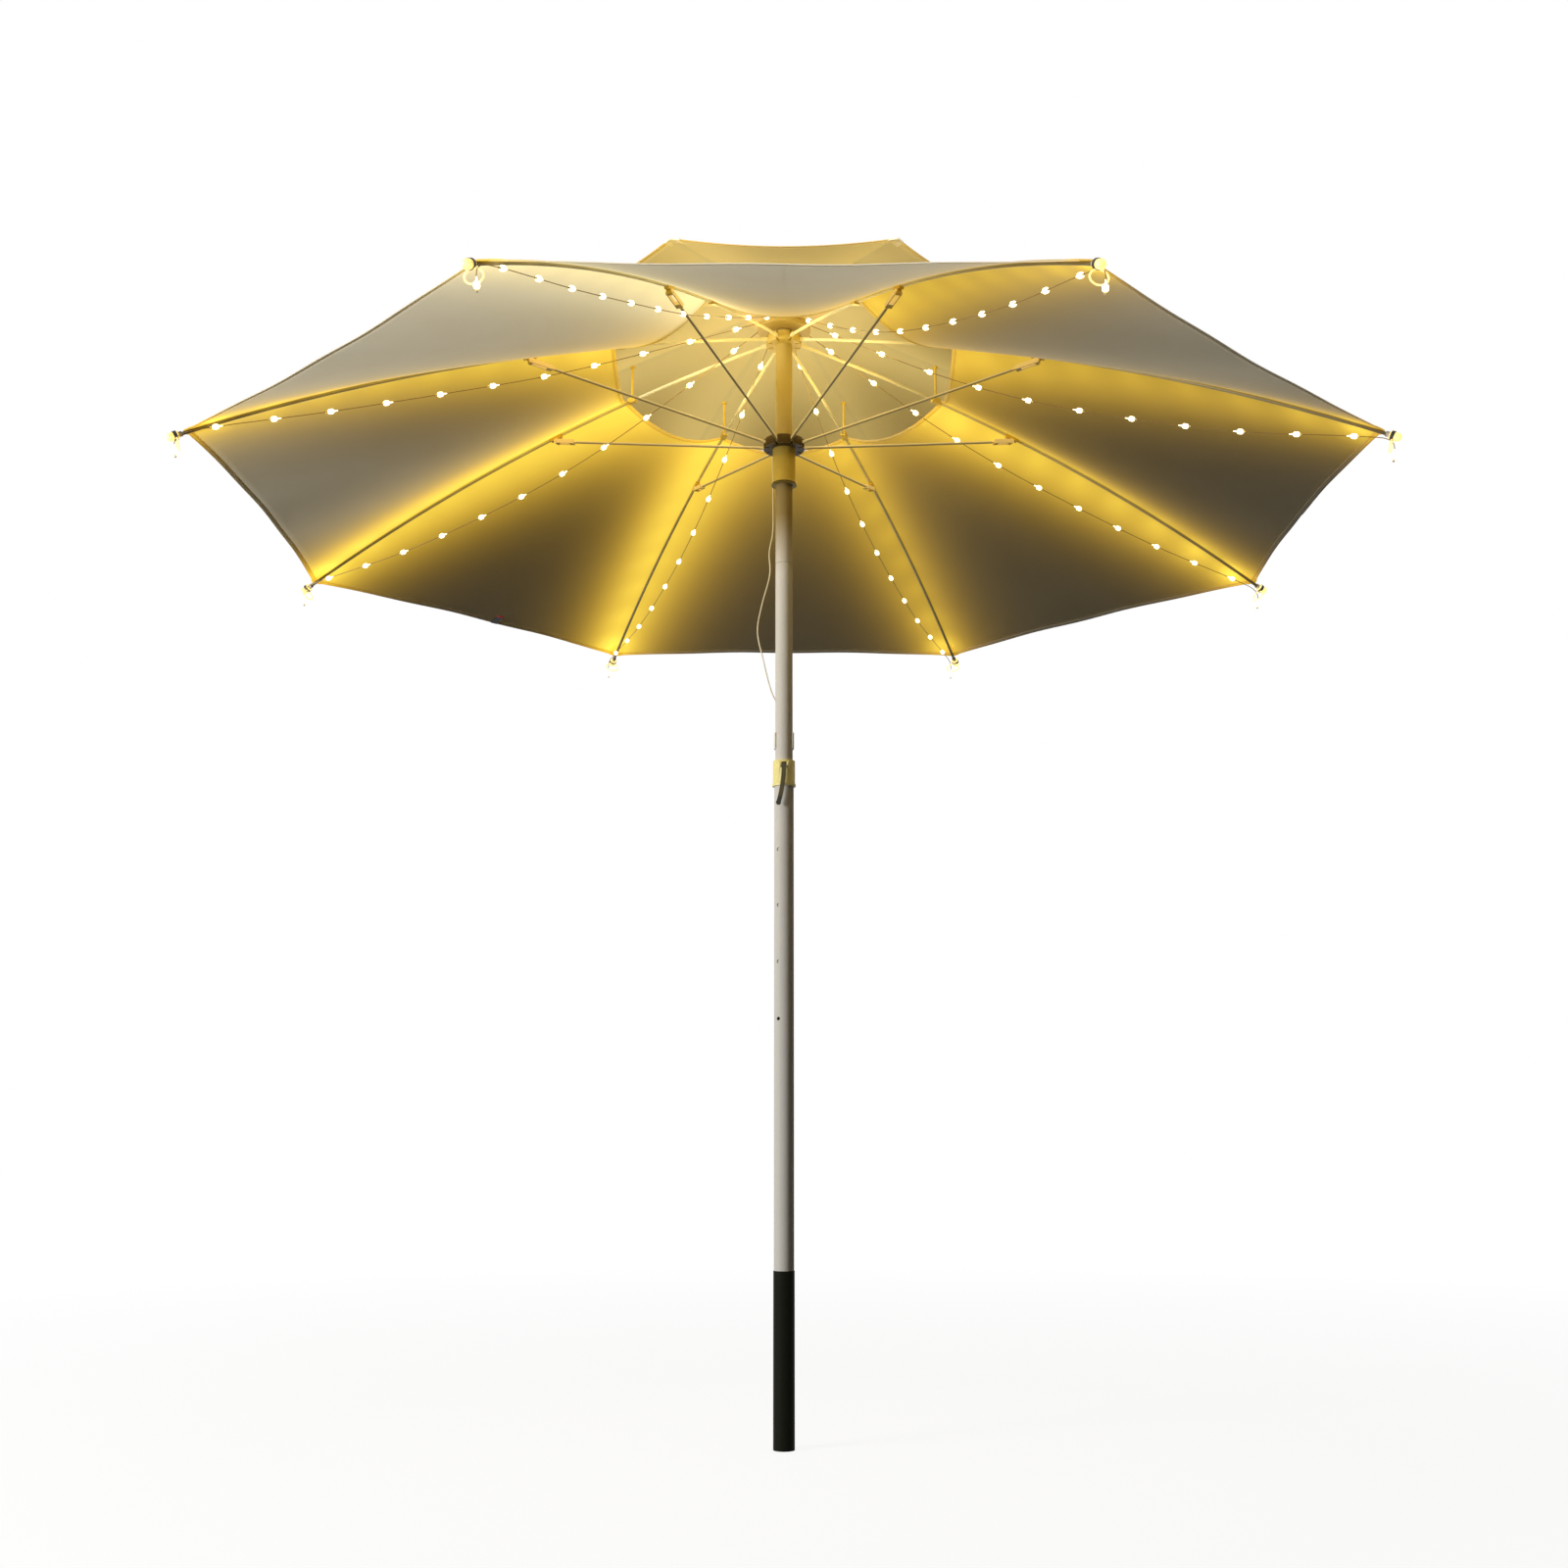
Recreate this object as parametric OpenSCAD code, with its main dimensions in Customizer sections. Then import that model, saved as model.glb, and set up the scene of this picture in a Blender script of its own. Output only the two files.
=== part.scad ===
// Garden parasol with eight strands of string lights under its ribs.
// Millimetres. +Z up, origin at the centre of the pole's foot, viewer on the -Y side.

/* [Canopy and ribs] */
// Distance from the pole's axis to a rib's tip
rib_tip_r = 1100; // [1080:1:1120]
// How far a rib falls from its pivot to its tip
rib_fall = 367; // [355:1:380]
// How far a rib bows up from a straight line
rib_bow = 42; // [30:1:50]
// Outer radius of a rib tube
rib_tube_r = 3; // [2.5:0.1:3.2]
// Wall of the rib tubes
rib_wall = 0.8; // [0.5:0.1:1.2]
// Distance from the pole's axis to the inner edge of the main cloth
opening_r = 340; // [330:1:380]
// Distance from the pole's axis to the outer edge of the vent cloth
vent_r = 498; // [440:1:540]
// Gap from the top of the light hub up to the vent cloth
vent_gap = 30; // [27:1:40]
// How far the vent cloth falls from there to its outer corners
vent_fall = 95; // [88:1:105]
// Thickness of the cloth
cloth_t = 1.2; // [0.8:0.1:1.6]
// How far the hem curves inward between two ribs
hem_scallop = 18; // [5:1:30]
// How far the vent cloth sags between two ribs
vent_sag = 12; // [6:1:14]
// Length of the strap that ties the closed parasol
strap_len = 34; // [24:1:60]
// Width of that strap
strap_w = 17; // [12:1:25]
// Width of the seam slit between two cloth panels
slit_w = 0.6; // [0.4:0.1:1]

/* [Rib hub] */
// Height of the rib pivots
hub_z = 2035; // [2010:1:2060]
// Radius of the ring wire that the ribs turn on
hub_pin_r = 27; // [26:0.5:28]
// Thickness of the hub disc
hub_t = 18; // [14:1:20]
// Outer radius of the hub disc
hub_r = 34; // [32:0.5:36]
// Radius of the ring wires' own section
wire_r = 1.25; // [1:0.05:1.3]
// Thickness of the flattened rib and stretcher ends
blade_t = 3.8; // [3:0.1:4]
// Radius of the eye at a rib's inner end
rib_eye_r = 4; // [3.5:0.1:4.3]

/* [Runner and stretchers] */
// Drop from the rib pivots to the stretcher pivots on the runner
runner_drop = 213; // [205:1:235]
// Radius of the ring wire that the stretchers turn on
runner_pin_r = 33; // [32:0.5:33.5]
// Outer radius of the runner's crown
crown_r = 39; // [38:0.5:39]
// Thickness of the runner's crown
crown_t = 18; // [16:1:20]
// Outer radius of the runner's barrel
barrel_r = 21.5; // [20:0.5:23]
// Length of the runner below the stretcher pivots
runner_len = 81; // [62:1:87]
// Outer radius of the flared lip under the barrel
lip_r = 24; // [23.5:0.5:26]
// Outer radius of a stretcher tube
stretcher_tube_r = 2.5; // [2.2:0.1:2.6]
// Radius of the eye at a stretcher's inner end
stretcher_eye_r = 4.5; // [4:0.1:4.8]
// Distance from the pole's axis to the rib brackets
bracket_r = 500; // [480:1:520]
// Drop from a rib's centre to the pivot in its bracket
bracket_drop = 10; // [9:0.5:12]
// Width of a rib bracket
bracket_w = 8.4; // [8:0.1:8.6]
// Gap between the two cheeks of a stretcher's fork
fork_gap = 9.2; // [9:0.1:9.4]
// Length of a fork from its crotch to the pivot
fork_len = 30; // [28:1:34]

/* [Pole] */
// Outer radius of the lower pole
lower_r = 17.8; // [17.6:0.1:18]
// Wall of the lower pole
lower_wall = 1; // [0.8:0.1:1]
// Outer radius of the upper poles
upper_r = 16; // [15.8:0.1:16]
// Wall of the upper poles
upper_wall = 1.2; // [1:0.1:1.5]
// Length of the sliding pole inside the lower one
slide_len = 405; // [385:1:425]
// Drop from the rib pivots to the seam between the two upper poles
seam_drop = 450; // [435:1:475]
// Width of the seam
seam_w = 0.6; // [0.3:0.1:0.9]
// Length of the spigot inside the seam
spigot_len = 170; // [120:5:200]
// Drop from the collar to the highest peg hole
hole_drop = 118; // [107:1:127]
// Distance between peg holes
hole_pitch = 102; // [90:1:105]
// Number of peg holes
hole_count = 4; // [1:1:4]
// Radius of a peg hole
hole_r = 3.2; // [2:0.1:4]
// Angle of the peg holes round the pole, from the left of the front
hole_turn = 35; // [0:5:60]
// Length of the ground sleeve
sleeve_len = 297; // [250:1:320]
// Wall of the ground sleeve
sleeve_wall = 0.8; // [0.6:0.1:1.2]

/* [Pole collar and lever] */
// Height of the collar's lower edge
collar_low_z = 1157; // [1150:1:1165]
// Height of the collar itself
collar_h = 48; // [40:1:56]
// Outer radius of the collar
collar_r = 20.4; // [20:0.1:21]
// Extra radius of the lip under the collar
collar_lip = 1.2; // [0.5:0.1:1.6]
// Length of the locking lever below its pin
lever_len = 72; // [60:1:80]
// Sideways bow of the lever
lever_bow = 10; // [5:1:12]
// Width of the lever's head
lever_w = 9.4; // [8:0.2:10]
// Radius of the lever's pin
lever_pin_r = 2; // [1.5:0.1:2.4]

/* [Light hub and strands] */
// Outer radius of the light hub
light_hub_r = 51; // [50:0.5:51.2]
// Gap from the rib hub up to the light hub
light_hub_gap = 11; // [9:0.5:14]
// Height of the light hub itself
light_hub_h = 15; // [13:0.5:20]
// Gap from the light hub up to the crown plug
plug_gap = 11; // [8:0.5:14]
// Wall of the plastic shells
shell = 1.6; // [1.2:0.1:2]
// Radius of a strand's wire
strand_wire_r = 0.75; // [0.6:0.05:0.9]
// Distance from the pole's axis to the first light
first_led_r = 103; // [95:1:110]
// Distance between lights, measured level
led_pitch = 93.1; // [90:0.1:94]
// Number of lights along the rib
led_count = 11; // [8:1:11]
// Radius of a light bead
bead_r = 4.5; // [3.5:0.1:5]
// Length of a light bead
bead_len = 11; // [8:0.5:13]

/* [Battery box] */
// Gap from the collar up to the box
box_lift = 5; // [4:0.5:9]
// Height of the box
box_h = 66; // [64:1:66]
// Width of the box, away from the pole
box_w = 60; // [60:1:66]
// Half the thickness of the box
box_half_t = 11; // [10.6:0.1:12]
// Gap from the pole to the box
box_gap = 6; // [5:0.5:8]
// Radius of a battery cell
cell_r = 7.1; // [6.8:0.1:7.2]
// Length of a battery cell
cell_len = 50; // [49:0.5:50.5]
// Radius of the power button
button_r = 3.8; // [3:0.1:4.2]
// Travel of the power button
button_travel = 1; // [0.6:0.1:1.2]

/* [Clearances] */
// Gap between pieces that are pressed together
seat_gap = 0.1; // [0.05:0.05:0.1]
// Gap between pieces that turn or slide on each other
run_gap = 0.3; // [0.2:0.05:0.35]
// Gap on each side of a blade in its slot
slot_gap = 0.4; // [0.3:0.05:0.5]

/* [Hidden] */
$fn = 48;
over = 1;
rib_count = 8;
rib_step = 360 / rib_count;
function rib_turn(k) = (k - 0.5) * rib_step;

// Heights: the fold hangs from the rib pivots, and the box stands over the collar.
rim_z = hub_z - rib_fall;
runner_z = hub_z - runner_drop;
runner_low_z = runner_z - runner_len;
seam_z = hub_z - seam_drop;
light_hub_low_z = hub_z + hub_t / 2 + light_hub_gap;
light_hub_top_z = light_hub_low_z + light_hub_h;
crown_plug_z = light_hub_top_z + plug_gap;
vent_crown_z = light_hub_top_z + vent_gap;
collar_top_z = collar_low_z + collar_h;
slide_end_z = collar_top_z - slide_len;
box_low_z = collar_top_z + box_lift;

// A rib's curve: a circle in the rib's own upright plane, from the hub pivot to the tip.
rib_span = rib_tip_r - hub_pin_r;
rib_chord = sqrt(rib_span * rib_span + rib_fall * rib_fall);
rib_curve_r = (rib_chord * rib_chord / 4 + rib_bow * rib_bow) / (2 * rib_bow);
curve_x = (hub_pin_r + rib_tip_r) / 2 - rib_fall / rib_chord * (rib_curve_r - rib_bow);
curve_z = (hub_z + rim_z) / 2 - rib_span / rib_chord * (rib_curve_r - rib_bow);
function rib_slope(r) = asin((r - curve_x) / rib_curve_r);
function rib_z(r) = curve_z + sqrt(rib_curve_r * rib_curve_r - (r - curve_x) * (r - curve_x));
function chord_z(r) = hub_z - rib_fall * (r - hub_pin_r) / rib_span;
function vent_z(r) = vent_crown_z - vent_fall * (r - light_hub_r) / (vent_r - light_hub_r);

// Where a stretcher begins on the runner and ends under its rib.
bracket_x = bracket_r - bracket_drop * sin(rib_slope(bracket_r));
bracket_z = rib_z(bracket_r) - bracket_drop * cos(rib_slope(bracket_r));
stretcher_len = norm([bracket_x - runner_pin_r, bracket_z - runner_z]);
stretcher_rise = atan2(bracket_z - runner_z, bracket_x - runner_pin_r);

// Small shared sizes.
eye_bore_r = wire_r + run_gap;
slot_w = blade_t + 2 * slot_gap;
blade_len = 20;
blade_half_h = rib_tube_r + 0.4;
plate_t = 2;
board_t = 1.6;

// Strand routes, in a rib's plane: distance out, distance sideways, height.
strand_gap = 0.4;
strand_start = [light_hub_r + strand_gap, 6, light_hub_low_z + light_hub_h / 2 - 0.5];
strand_run = [
    [285, 13, 1955], [469, 14, 1878], [659, 14, 1811], [847, 14, 1748], [1034, 12, 1691],
    [1092, 11, 1666], [1095, 11, 1632]
];
// Extra sag of each strand halfway along, since no two are pulled equally tight.
strand_sag = [18, 56, 80, 47, 0, 0, 27, 36];
tail_bead_z = 1638;

// Lead from the light hub to the battery box.
lead_r = 1.2;
lead_x = 0;
lead_y = 45;
lead_in_y = 50;
gland_r = 3.2;
gland_len = 8;
lead_route = [
    [0, 45, 2010], [0, 45, 1920], [-9, 43, 1875], [-21, 37.5, 1835], [-21, 37.5, 1740],
    [-21, 37.5, 1665], [-28, 36, 1620], [-27, 36, 1575], [-42, 35, 1515], [-50, 34, 1464],
    [-40, 37, 1412], [-24, 46, 1350], [-4, 50, 1310]
];

// Colours.
cloth_grey = [0.55, 0.53, 0.46];
pole_grey = [0.62, 0.60, 0.57];
rib_cream = [0.90, 0.86, 0.74];
clip_yellow = [0.88, 0.74, 0.32];

module tube(outer_r, inner_r, low, high) {
    translate([0, 0, low]) difference() {
        cylinder(r = outer_r, h = high - low);
        translate([0, 0, -over]) cylinder(r = inner_r, h = high - low + 2 * over);
    }
}

// A flat outline drawn as distance out and height, given a width across the rib's plane.
module upright_plate(width) {
    rotate([90, 0, 0]) linear_extrude(width, center = true) children();
}

module along_rib(r) {
    translate([r, 0, rib_z(r)]) rotate([0, rib_slope(r), 0]) children();
}

// A ring of round wire that pivots turn on.
module ring_wire(ring_r, z) {
    translate([0, 0, z]) rotate_extrude($fn = 96) translate([ring_r, 0]) circle(wire_r, $fn = 24);
}

// Slots for blades in a disc, and a groove for the ring wire they turn on.
module pivot_cuts(ring_r, slot_from, outer_r, z, t) {
    ring_groove(ring_r, z);
    for (k = [1 : rib_count]) rotate([0, 0, rib_turn(k)])
        translate([slot_from, -slot_w / 2, z - t / 2 - over])
            cube([outer_r - slot_from + over, slot_w, t + 2 * over]);
}

module ring_groove(ring_r, z) {
    translate([0, 0, z]) rotate_extrude($fn = 96)
        translate([ring_r, 0]) circle(wire_r + seat_gap, $fn = 24);
}

// Pole.

module lower_pole() {
    color(pole_grey) difference() {
        tube(lower_r, lower_r - lower_wall, plug_flange, collar_top_z - collar_shoulder);
        for (i = [0 : hole_count - 1])
            rotate([0, 0, -hole_turn]) translate([0, 0, hole_z - i * hole_pitch])
                rotate([90, 0, 0]) cylinder(r = hole_r, h = lower_r + over);
    }
}
plug_flange = 4;
plug_len = 30;
collar_shoulder = 15;
hole_z = collar_low_z - hole_drop;

module ground_sleeve() {
    color([0.05, 0.05, 0.05])
        tube(lower_r + seat_gap + sleeve_wall, lower_r + seat_gap, 0, sleeve_len);
}

module foot_plug() {
    color([0.1, 0.1, 0.1]) union() {
        cylinder(r = lower_r, h = plug_flange - seat_gap);
        cylinder(r = lower_r - lower_wall - seat_gap, h = plug_len);
    }
}

// Collar: clamped on the lower pole, guides the upper pole, carries the lever between two lugs.
lug_reach = 8;
lug_t = 3;
lever_pin_z = collar_top_z - 10;
lever_pin_y = -(collar_r + 5.5);
lug_r = 5;

module pole_collar() {
    color(clip_yellow) difference() {
        union() {
            translate([0, 0, collar_low_z]) cylinder(r = collar_r, h = collar_top_z - collar_low_z);
            translate([0, 0, collar_low_z]) cylinder(r = collar_r + collar_lip, h = 5);
            for (side = [-1, 1]) translate([side * (lever_w / 2 + run_gap + lug_t / 2), 0, 0])
                rotate([0, 0, 90]) upright_plate(lug_t) union() {
                    translate([lever_pin_y, lever_pin_z]) circle(lug_r);
                    translate([lever_pin_y, lever_pin_z - lug_r]) square([lug_reach, 2 * lug_r]);
                }
        }
        translate([0, 0, collar_low_z - over])
            cylinder(r = lower_r + seat_gap, h = collar_top_z - collar_low_z - collar_shoulder + over);
        translate([0, 0, collar_low_z])
            cylinder(r = upper_r + run_gap, h = collar_top_z - collar_low_z + over);
        translate([0, lever_pin_y, lever_pin_z]) rotate([0, 90, 0])
            cylinder(r = lever_pin_r + seat_gap / 2, h = 4 * lever_w, center = true);
    }
}

module lever_pin() {
    pin_len = lever_w + 2 * (run_gap + lug_t) + 1;
    color([0.7, 0.7, 0.7]) translate([0, lever_pin_y, lever_pin_z]) rotate([0, 90, 0])
        cylinder(r = lever_pin_r, h = pin_len, center = true);
}

// The lever's arm is an arc that leaves the pin straight down and bows to the left.
lever_t = 3.6;
lever_arc_r = (lever_len * lever_len + lever_bow * lever_bow) / (2 * lever_bow);
lever_arc = asin(lever_len / lever_arc_r);

module lock_lever() {
    color([0.30, 0.24, 0.12]) difference() {
        union() {
            translate([0, lever_pin_y, lever_pin_z]) rotate([0, 90, 0])
                cylinder(r = lug_r - 0.4, h = lever_w, center = true);
            translate([-lever_arc_r, lever_pin_y - 0.6, lever_pin_z]) rotate([90, 0, 0])
                rotate([0, 0, -lever_arc]) rotate_extrude(angle = lever_arc, $fn = 96)
                    translate([lever_arc_r - lever_w / 2 + 0.6, 0]) square([lever_w - 1.2, lever_t]);
            translate([-lever_bow, lever_pin_y - 0.6, lever_pin_z - lever_len]) rotate([90, 0, 0])
                cylinder(r = lever_w / 2, h = lever_t);
        }
        translate([0, lever_pin_y, lever_pin_z]) rotate([0, 90, 0])
            cylinder(r = lever_pin_r + run_gap / 2, h = 2 * lever_w, center = true);
    }
}

module mid_pole() {
    color(pole_grey) tube(upper_r, upper_r - upper_wall, slide_end_z + bush_h, seam_z - seam_w / 2);
}

module top_pole() {
    color(pole_grey) tube(upper_r, upper_r - upper_wall, seam_z + seam_w / 2, crown_plug_z - seat_gap);
}

spigot_wall = 1.2;
module joining_spigot() {
    spigot_r = upper_r - upper_wall - seat_gap;
    color([0.45, 0.45, 0.45])
        tube(spigot_r, spigot_r - spigot_wall, seam_z - spigot_len / 2, seam_z + spigot_len / 2);
}

// Bush on the sliding pole's lower end: its flange guides the pole in the lower one.
bush_h = 15;
bush_stem = 35;
module guide_bush() {
    stem_r = upper_r - upper_wall - seat_gap;
    color([0.15, 0.15, 0.15]) difference() {
        union() {
            translate([0, 0, slide_end_z]) cylinder(r = lower_r - lower_wall - run_gap, h = bush_h - seat_gap);
            translate([0, 0, slide_end_z]) cylinder(r = stem_r, h = bush_stem);
        }
        translate([0, 0, slide_end_z - over]) cylinder(r = stem_r - plate_t, h = bush_stem + 2 * over);
    }
}

// Rib hub.

module rib_hub() {
    color(clip_yellow) difference() {
        tube(hub_r, upper_r + seat_gap, hub_z - hub_t / 2, hub_z + hub_t / 2);
        pivot_cuts(hub_pin_r, hub_pin_r - rib_eye_r - slot_gap, hub_r, hub_z, hub_t);
    }
}

module hub_ring_wire() {
    color([0.75, 0.75, 0.75]) ring_wire(hub_pin_r, hub_z);
}

// Light hub: a cup and a cover round the pole's top, with a ring board inside.

light_cover_t = 3.8;
light_board_r = 45;
module light_hub_case() {
    floor_z = light_hub_low_z + plate_t;
    rim_top = light_hub_top_z - light_cover_t - seat_gap;
    neck_r = upper_r + seat_gap + shell;
    color([0.78, 0.62, 0.26]) difference() {
        union() {
            tube(light_hub_r, upper_r + seat_gap, light_hub_low_z, floor_z);
            tube(light_hub_r, light_hub_r - shell, light_hub_low_z, rim_top);
            tube(neck_r, upper_r + seat_gap, light_hub_low_z, rim_top);
            tube(light_board_r, light_board_r - plate_t, light_hub_low_z, floor_z + shell);
            translate([lead_x, lead_y, light_hub_low_z - gland_len])
                cylinder(r = gland_r, h = gland_len + plate_t / 2);
        }
    }
}

module light_hub_cover() {
    color([0.90, 0.84, 0.66])
        tube(light_hub_r, upper_r + seat_gap, light_hub_top_z - light_cover_t, light_hub_top_z);
}

module light_hub_board() {
    board_z = light_hub_low_z + plate_t + shell + seat_gap;
    color([0.1, 0.4, 0.2])
        tube(light_board_r + plate_t, upper_r + plate_t + shell, board_z, board_z + board_t);
}

// Crown.

plug_flange_r = 30.5;
plug_flange_t = 10;
plug_boss_r = 18;
stud_r = 4;
patch_r = 90;
patch_hole_r = 16;
patch_t = 1;
patch_lift = 1.5;
function patch_z(r) = vent_z(r) + patch_lift;

module crown_plug() {
    boss_top = patch_z(plug_boss_r) - patch_t / 2 - run_gap;
    color([0.93, 0.92, 0.88]) difference() {
        union() {
            translate([0, 0, crown_plug_z - plug_len])
                cylinder(r = upper_r - upper_wall - seat_gap, h = plug_len);
            translate([0, 0, crown_plug_z]) cylinder(r = plug_flange_r, h = plug_flange_t);
            translate([0, 0, crown_plug_z]) cylinder(r = plug_boss_r, h = boss_top - crown_plug_z);
        }
        translate([0, 0, crown_plug_z]) cylinder(r = stud_r + seat_gap, h = plug_len + over);
    }
}

module patch_cone(up) {
    translate([0, 0, patch_z(patch_r) + up]) cylinder(
        r1 = patch_r, r2 = patch_hole_r, h = patch_z(patch_hole_r) - patch_z(patch_r), $fn = rib_count);
}

module crown_patch() {
    color([0.90, 0.72, 0.30]) rotate([0, 0, rib_step / 2]) difference() {
        patch_cone(patch_t / 2);
        patch_cone(-patch_t / 2);
        cylinder(r = patch_hole_r + 2, h = 2 * vent_crown_z);
    }
}

finial_r = 25;
finial_h = 62;
module finial() {
    seat_z = patch_z(patch_hole_r + 2) + patch_t / 2 + run_gap;
    color([0.90, 0.88, 0.82]) union() {
        translate([0, 0, crown_plug_z + run_gap])
            cylinder(r = stud_r, h = seat_z - crown_plug_z);
        translate([0, 0, seat_z]) rotate_extrude() polygon([
            [0, 0], [finial_r, 0], [finial_r, 4], [finial_r * 0.55, 10], [finial_r * 0.4, 20],
            [finial_r * 0.62, 32], [finial_r * 0.62, 42], [finial_r * 0.35, 56], [0, finial_h]
        ]);
    }
}

// Battery box, clipped on the pole's rear side.

box_y = upper_r + box_gap;
box_back = box_y + box_w;
box_top_z = box_low_z + box_h;
lid_t = 1.7;
tongue_t = 1.2;
tongue_reach = 1;
rail_wall = 2.8;
lid_face = box_half_t - lid_t;
tongue_x = lid_face - run_gap - 2;
clip_wall = 2.6;
clip_low_z = box_low_z + 18;
clip_h = 30;
clip_mouth = 120;
board_x = -2;
button_y = box_back - 9;
button_z = box_low_z + box_h / 2;
cell_pitch = 2 * cell_r + 0.4;
cell_x = -1.4;
cell_first_y = box_y + shell + cell_r + 0.3;
cell_z = box_low_z + (box_h - cell_len) / 2;

module battery_case() {
    clip_r = upper_r + seat_gap + clip_wall;
    inner_x = -box_half_t + shell;
    color([0.88, 0.86, 0.78]) difference() {
        union() {
            translate([-box_half_t, box_y, box_low_z])
                cube([box_half_t + lid_face - run_gap, box_w, box_h]);
            translate([-shell * 2, upper_r, clip_low_z])
                cube([shell * 4, box_gap + shell / 2, clip_h]);
            difference() {
                tube(clip_r, upper_r + seat_gap, clip_low_z, clip_low_z + clip_h);
                translate([0, 0, clip_low_z - over]) rotate([0, 0, -90 - clip_mouth / 2])
                    rotate_extrude(angle = clip_mouth) square([2 * clip_r, clip_h + 2 * over]);
            }
            translate([lead_x, lead_in_y, box_top_z - plate_t / 2])
                cylinder(r = gland_r, h = gland_len + plate_t / 2);
        }
        translate([0, 0, clip_low_z - over]) cylinder(r = upper_r + seat_gap, h = clip_h + 2 * over);
        translate([inner_x, box_y + shell, box_low_z + rail_wall])
            cube([2 * box_half_t, box_w - 2 * shell, box_h - 2 * rail_wall]);
        translate([tongue_x - run_gap, box_y + shell, box_low_z + rail_wall - tongue_reach - run_gap])
            cube([tongue_t + 2 * run_gap, box_w, box_h - 2 * (rail_wall - tongue_reach - run_gap)]);
        translate([tongue_x - run_gap, box_y + shell, box_low_z + rail_wall - run_gap])
            cube([2 * box_half_t, box_w, box_h - 2 * (rail_wall - run_gap)]);
        translate([-box_half_t - over, button_y, button_z]) rotate([0, 90, 0])
            cylinder(r = button_r + run_gap, h = shell + 2 * over);
    }
}

module battery_cells() {
    for (i = [0 : 2]) color([0.25, 0.45, 0.35])
        translate([cell_x, cell_first_y + i * cell_pitch, cell_z]) union() {
            cylinder(r = cell_r, h = cell_len - 1.4);
            cylinder(r = cell_r * 0.38, h = cell_len);
        }
}

// Contact plates over and under the cells, with a spring bump for each cell.
contact_t = 0.5;
module battery_contacts() {
    plate_low = box_low_z + rail_wall + seat_gap;
    plate_top = box_low_z + box_h - rail_wall - seat_gap - contact_t;
    for (z = [plate_low, plate_top]) color([0.8, 0.75, 0.6])
        translate([cell_x - cell_r * 0.6, cell_first_y - cell_r * 0.6, z])
            cube([cell_r * 1.2, 2 * cell_pitch + cell_r * 1.2, contact_t]);
    for (i = [0 : 2]) color([0.8, 0.8, 0.8]) translate([cell_x, cell_first_y + i * cell_pitch, 0]) {
        translate([0, 0, plate_low + contact_t])
            cylinder(r1 = cell_r * 0.6, r2 = cell_r * 0.4, h = cell_z - plate_low - contact_t - seat_gap);
        translate([0, 0, cell_z + cell_len + seat_gap])
            cylinder(r = cell_r * 0.4, h = plate_top - cell_z - cell_len - seat_gap);
    }
}

// Board behind the button, held on two ribs at its ends.
switch_r = 2.4;
button_stem = 1.4;
button_flange_t = 1;
module control_board() {
    low = box_low_z + rail_wall + seat_gap;
    switch_top = -box_half_t + shell + seat_gap + button_flange_t + button_travel + 0.4;
    color([0.1, 0.4, 0.2]) union() {
        translate([board_x, button_y - 4, low]) cube([board_t, 9, box_h - 2 * (rail_wall + seat_gap)]);
        translate([switch_top, button_y, button_z]) rotate([0, 90, 0])
            cylinder(r = switch_r, h = board_x - switch_top + over / 2);
    }
}

module battery_lid() {
    color([0.86, 0.84, 0.76]) union() {
        translate([lid_face, box_y, box_low_z]) cube([lid_t, box_w, box_h]);
        translate([tongue_x, box_y + shell + run_gap, box_low_z + rail_wall])
            cube([lid_face - tongue_x + over / 2, box_w - shell - run_gap, box_h - 2 * rail_wall]);
        translate([tongue_x, box_y + shell + run_gap, box_low_z + rail_wall - tongue_reach])
            cube([tongue_t, box_w - shell - run_gap, box_h - 2 * (rail_wall - tongue_reach)]);
        for (i = [0 : 4]) translate([box_half_t - 0.2, box_back - 8 - i * 3, button_z - 10])
            cube([0.8, 1.4, 20]);
    }
}

module power_button() {
    color([0.20, 0.20, 0.20]) translate([-box_half_t - button_stem, button_y, button_z])
        rotate([0, 90, 0]) union() {
            cylinder(r = button_r, h = button_stem + shell + seat_gap + button_flange_t / 2);
            translate([0, 0, button_stem + shell + seat_gap])
                cylinder(r = button_r + 1, h = button_flange_t);
        }
}

// Runner.

module runner() {
    crown_low = runner_z - crown_t / 2;
    lip_h = 7;
    color([0.20, 0.15, 0.10]) difference() {
        union() {
            translate([0, 0, crown_low]) cylinder(r = crown_r, h = crown_t);
            translate([0, 0, runner_low_z]) cylinder(r = barrel_r, h = runner_z - runner_low_z);
            translate([0, 0, runner_low_z]) cylinder(r1 = lip_r, r2 = barrel_r, h = lip_h);
        }
        translate([0, 0, runner_low_z - over])
            cylinder(r = upper_r + run_gap, h = runner_z - runner_low_z + crown_t);
        pivot_cuts(runner_pin_r, runner_pin_r - stretcher_eye_r - slot_gap, crown_r, runner_z, crown_t);
    }
}

module runner_ring_wire() {
    color([0.75, 0.75, 0.75]) ring_wire(runner_pin_r, runner_z);
}

// Ribs, each with its tube and eye, the bracket, the vent post and the tip cap.

bracket_len = 24;
bracket_wall = 2.5;
bracket_wrap = 0.8;
post_r_out = opening_r - 12;
post_r = 2.4;
post_cap_r = 5;
post_cap_t = 3;
tip_cap_r = 4.6;
tip_cap_len = 16;

// A rod bent to the rib's curve, between two distances from the pole.
module bent_rod(r, from, to) {
    translate([curve_x, 0, curve_z]) rotate([90, 0, 0]) rotate([0, 0, 90 - rib_slope(to)])
        rotate_extrude(angle = rib_slope(to) - rib_slope(from), $fn = 720)
            translate([rib_curve_r, 0]) circle(r);
}

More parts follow.
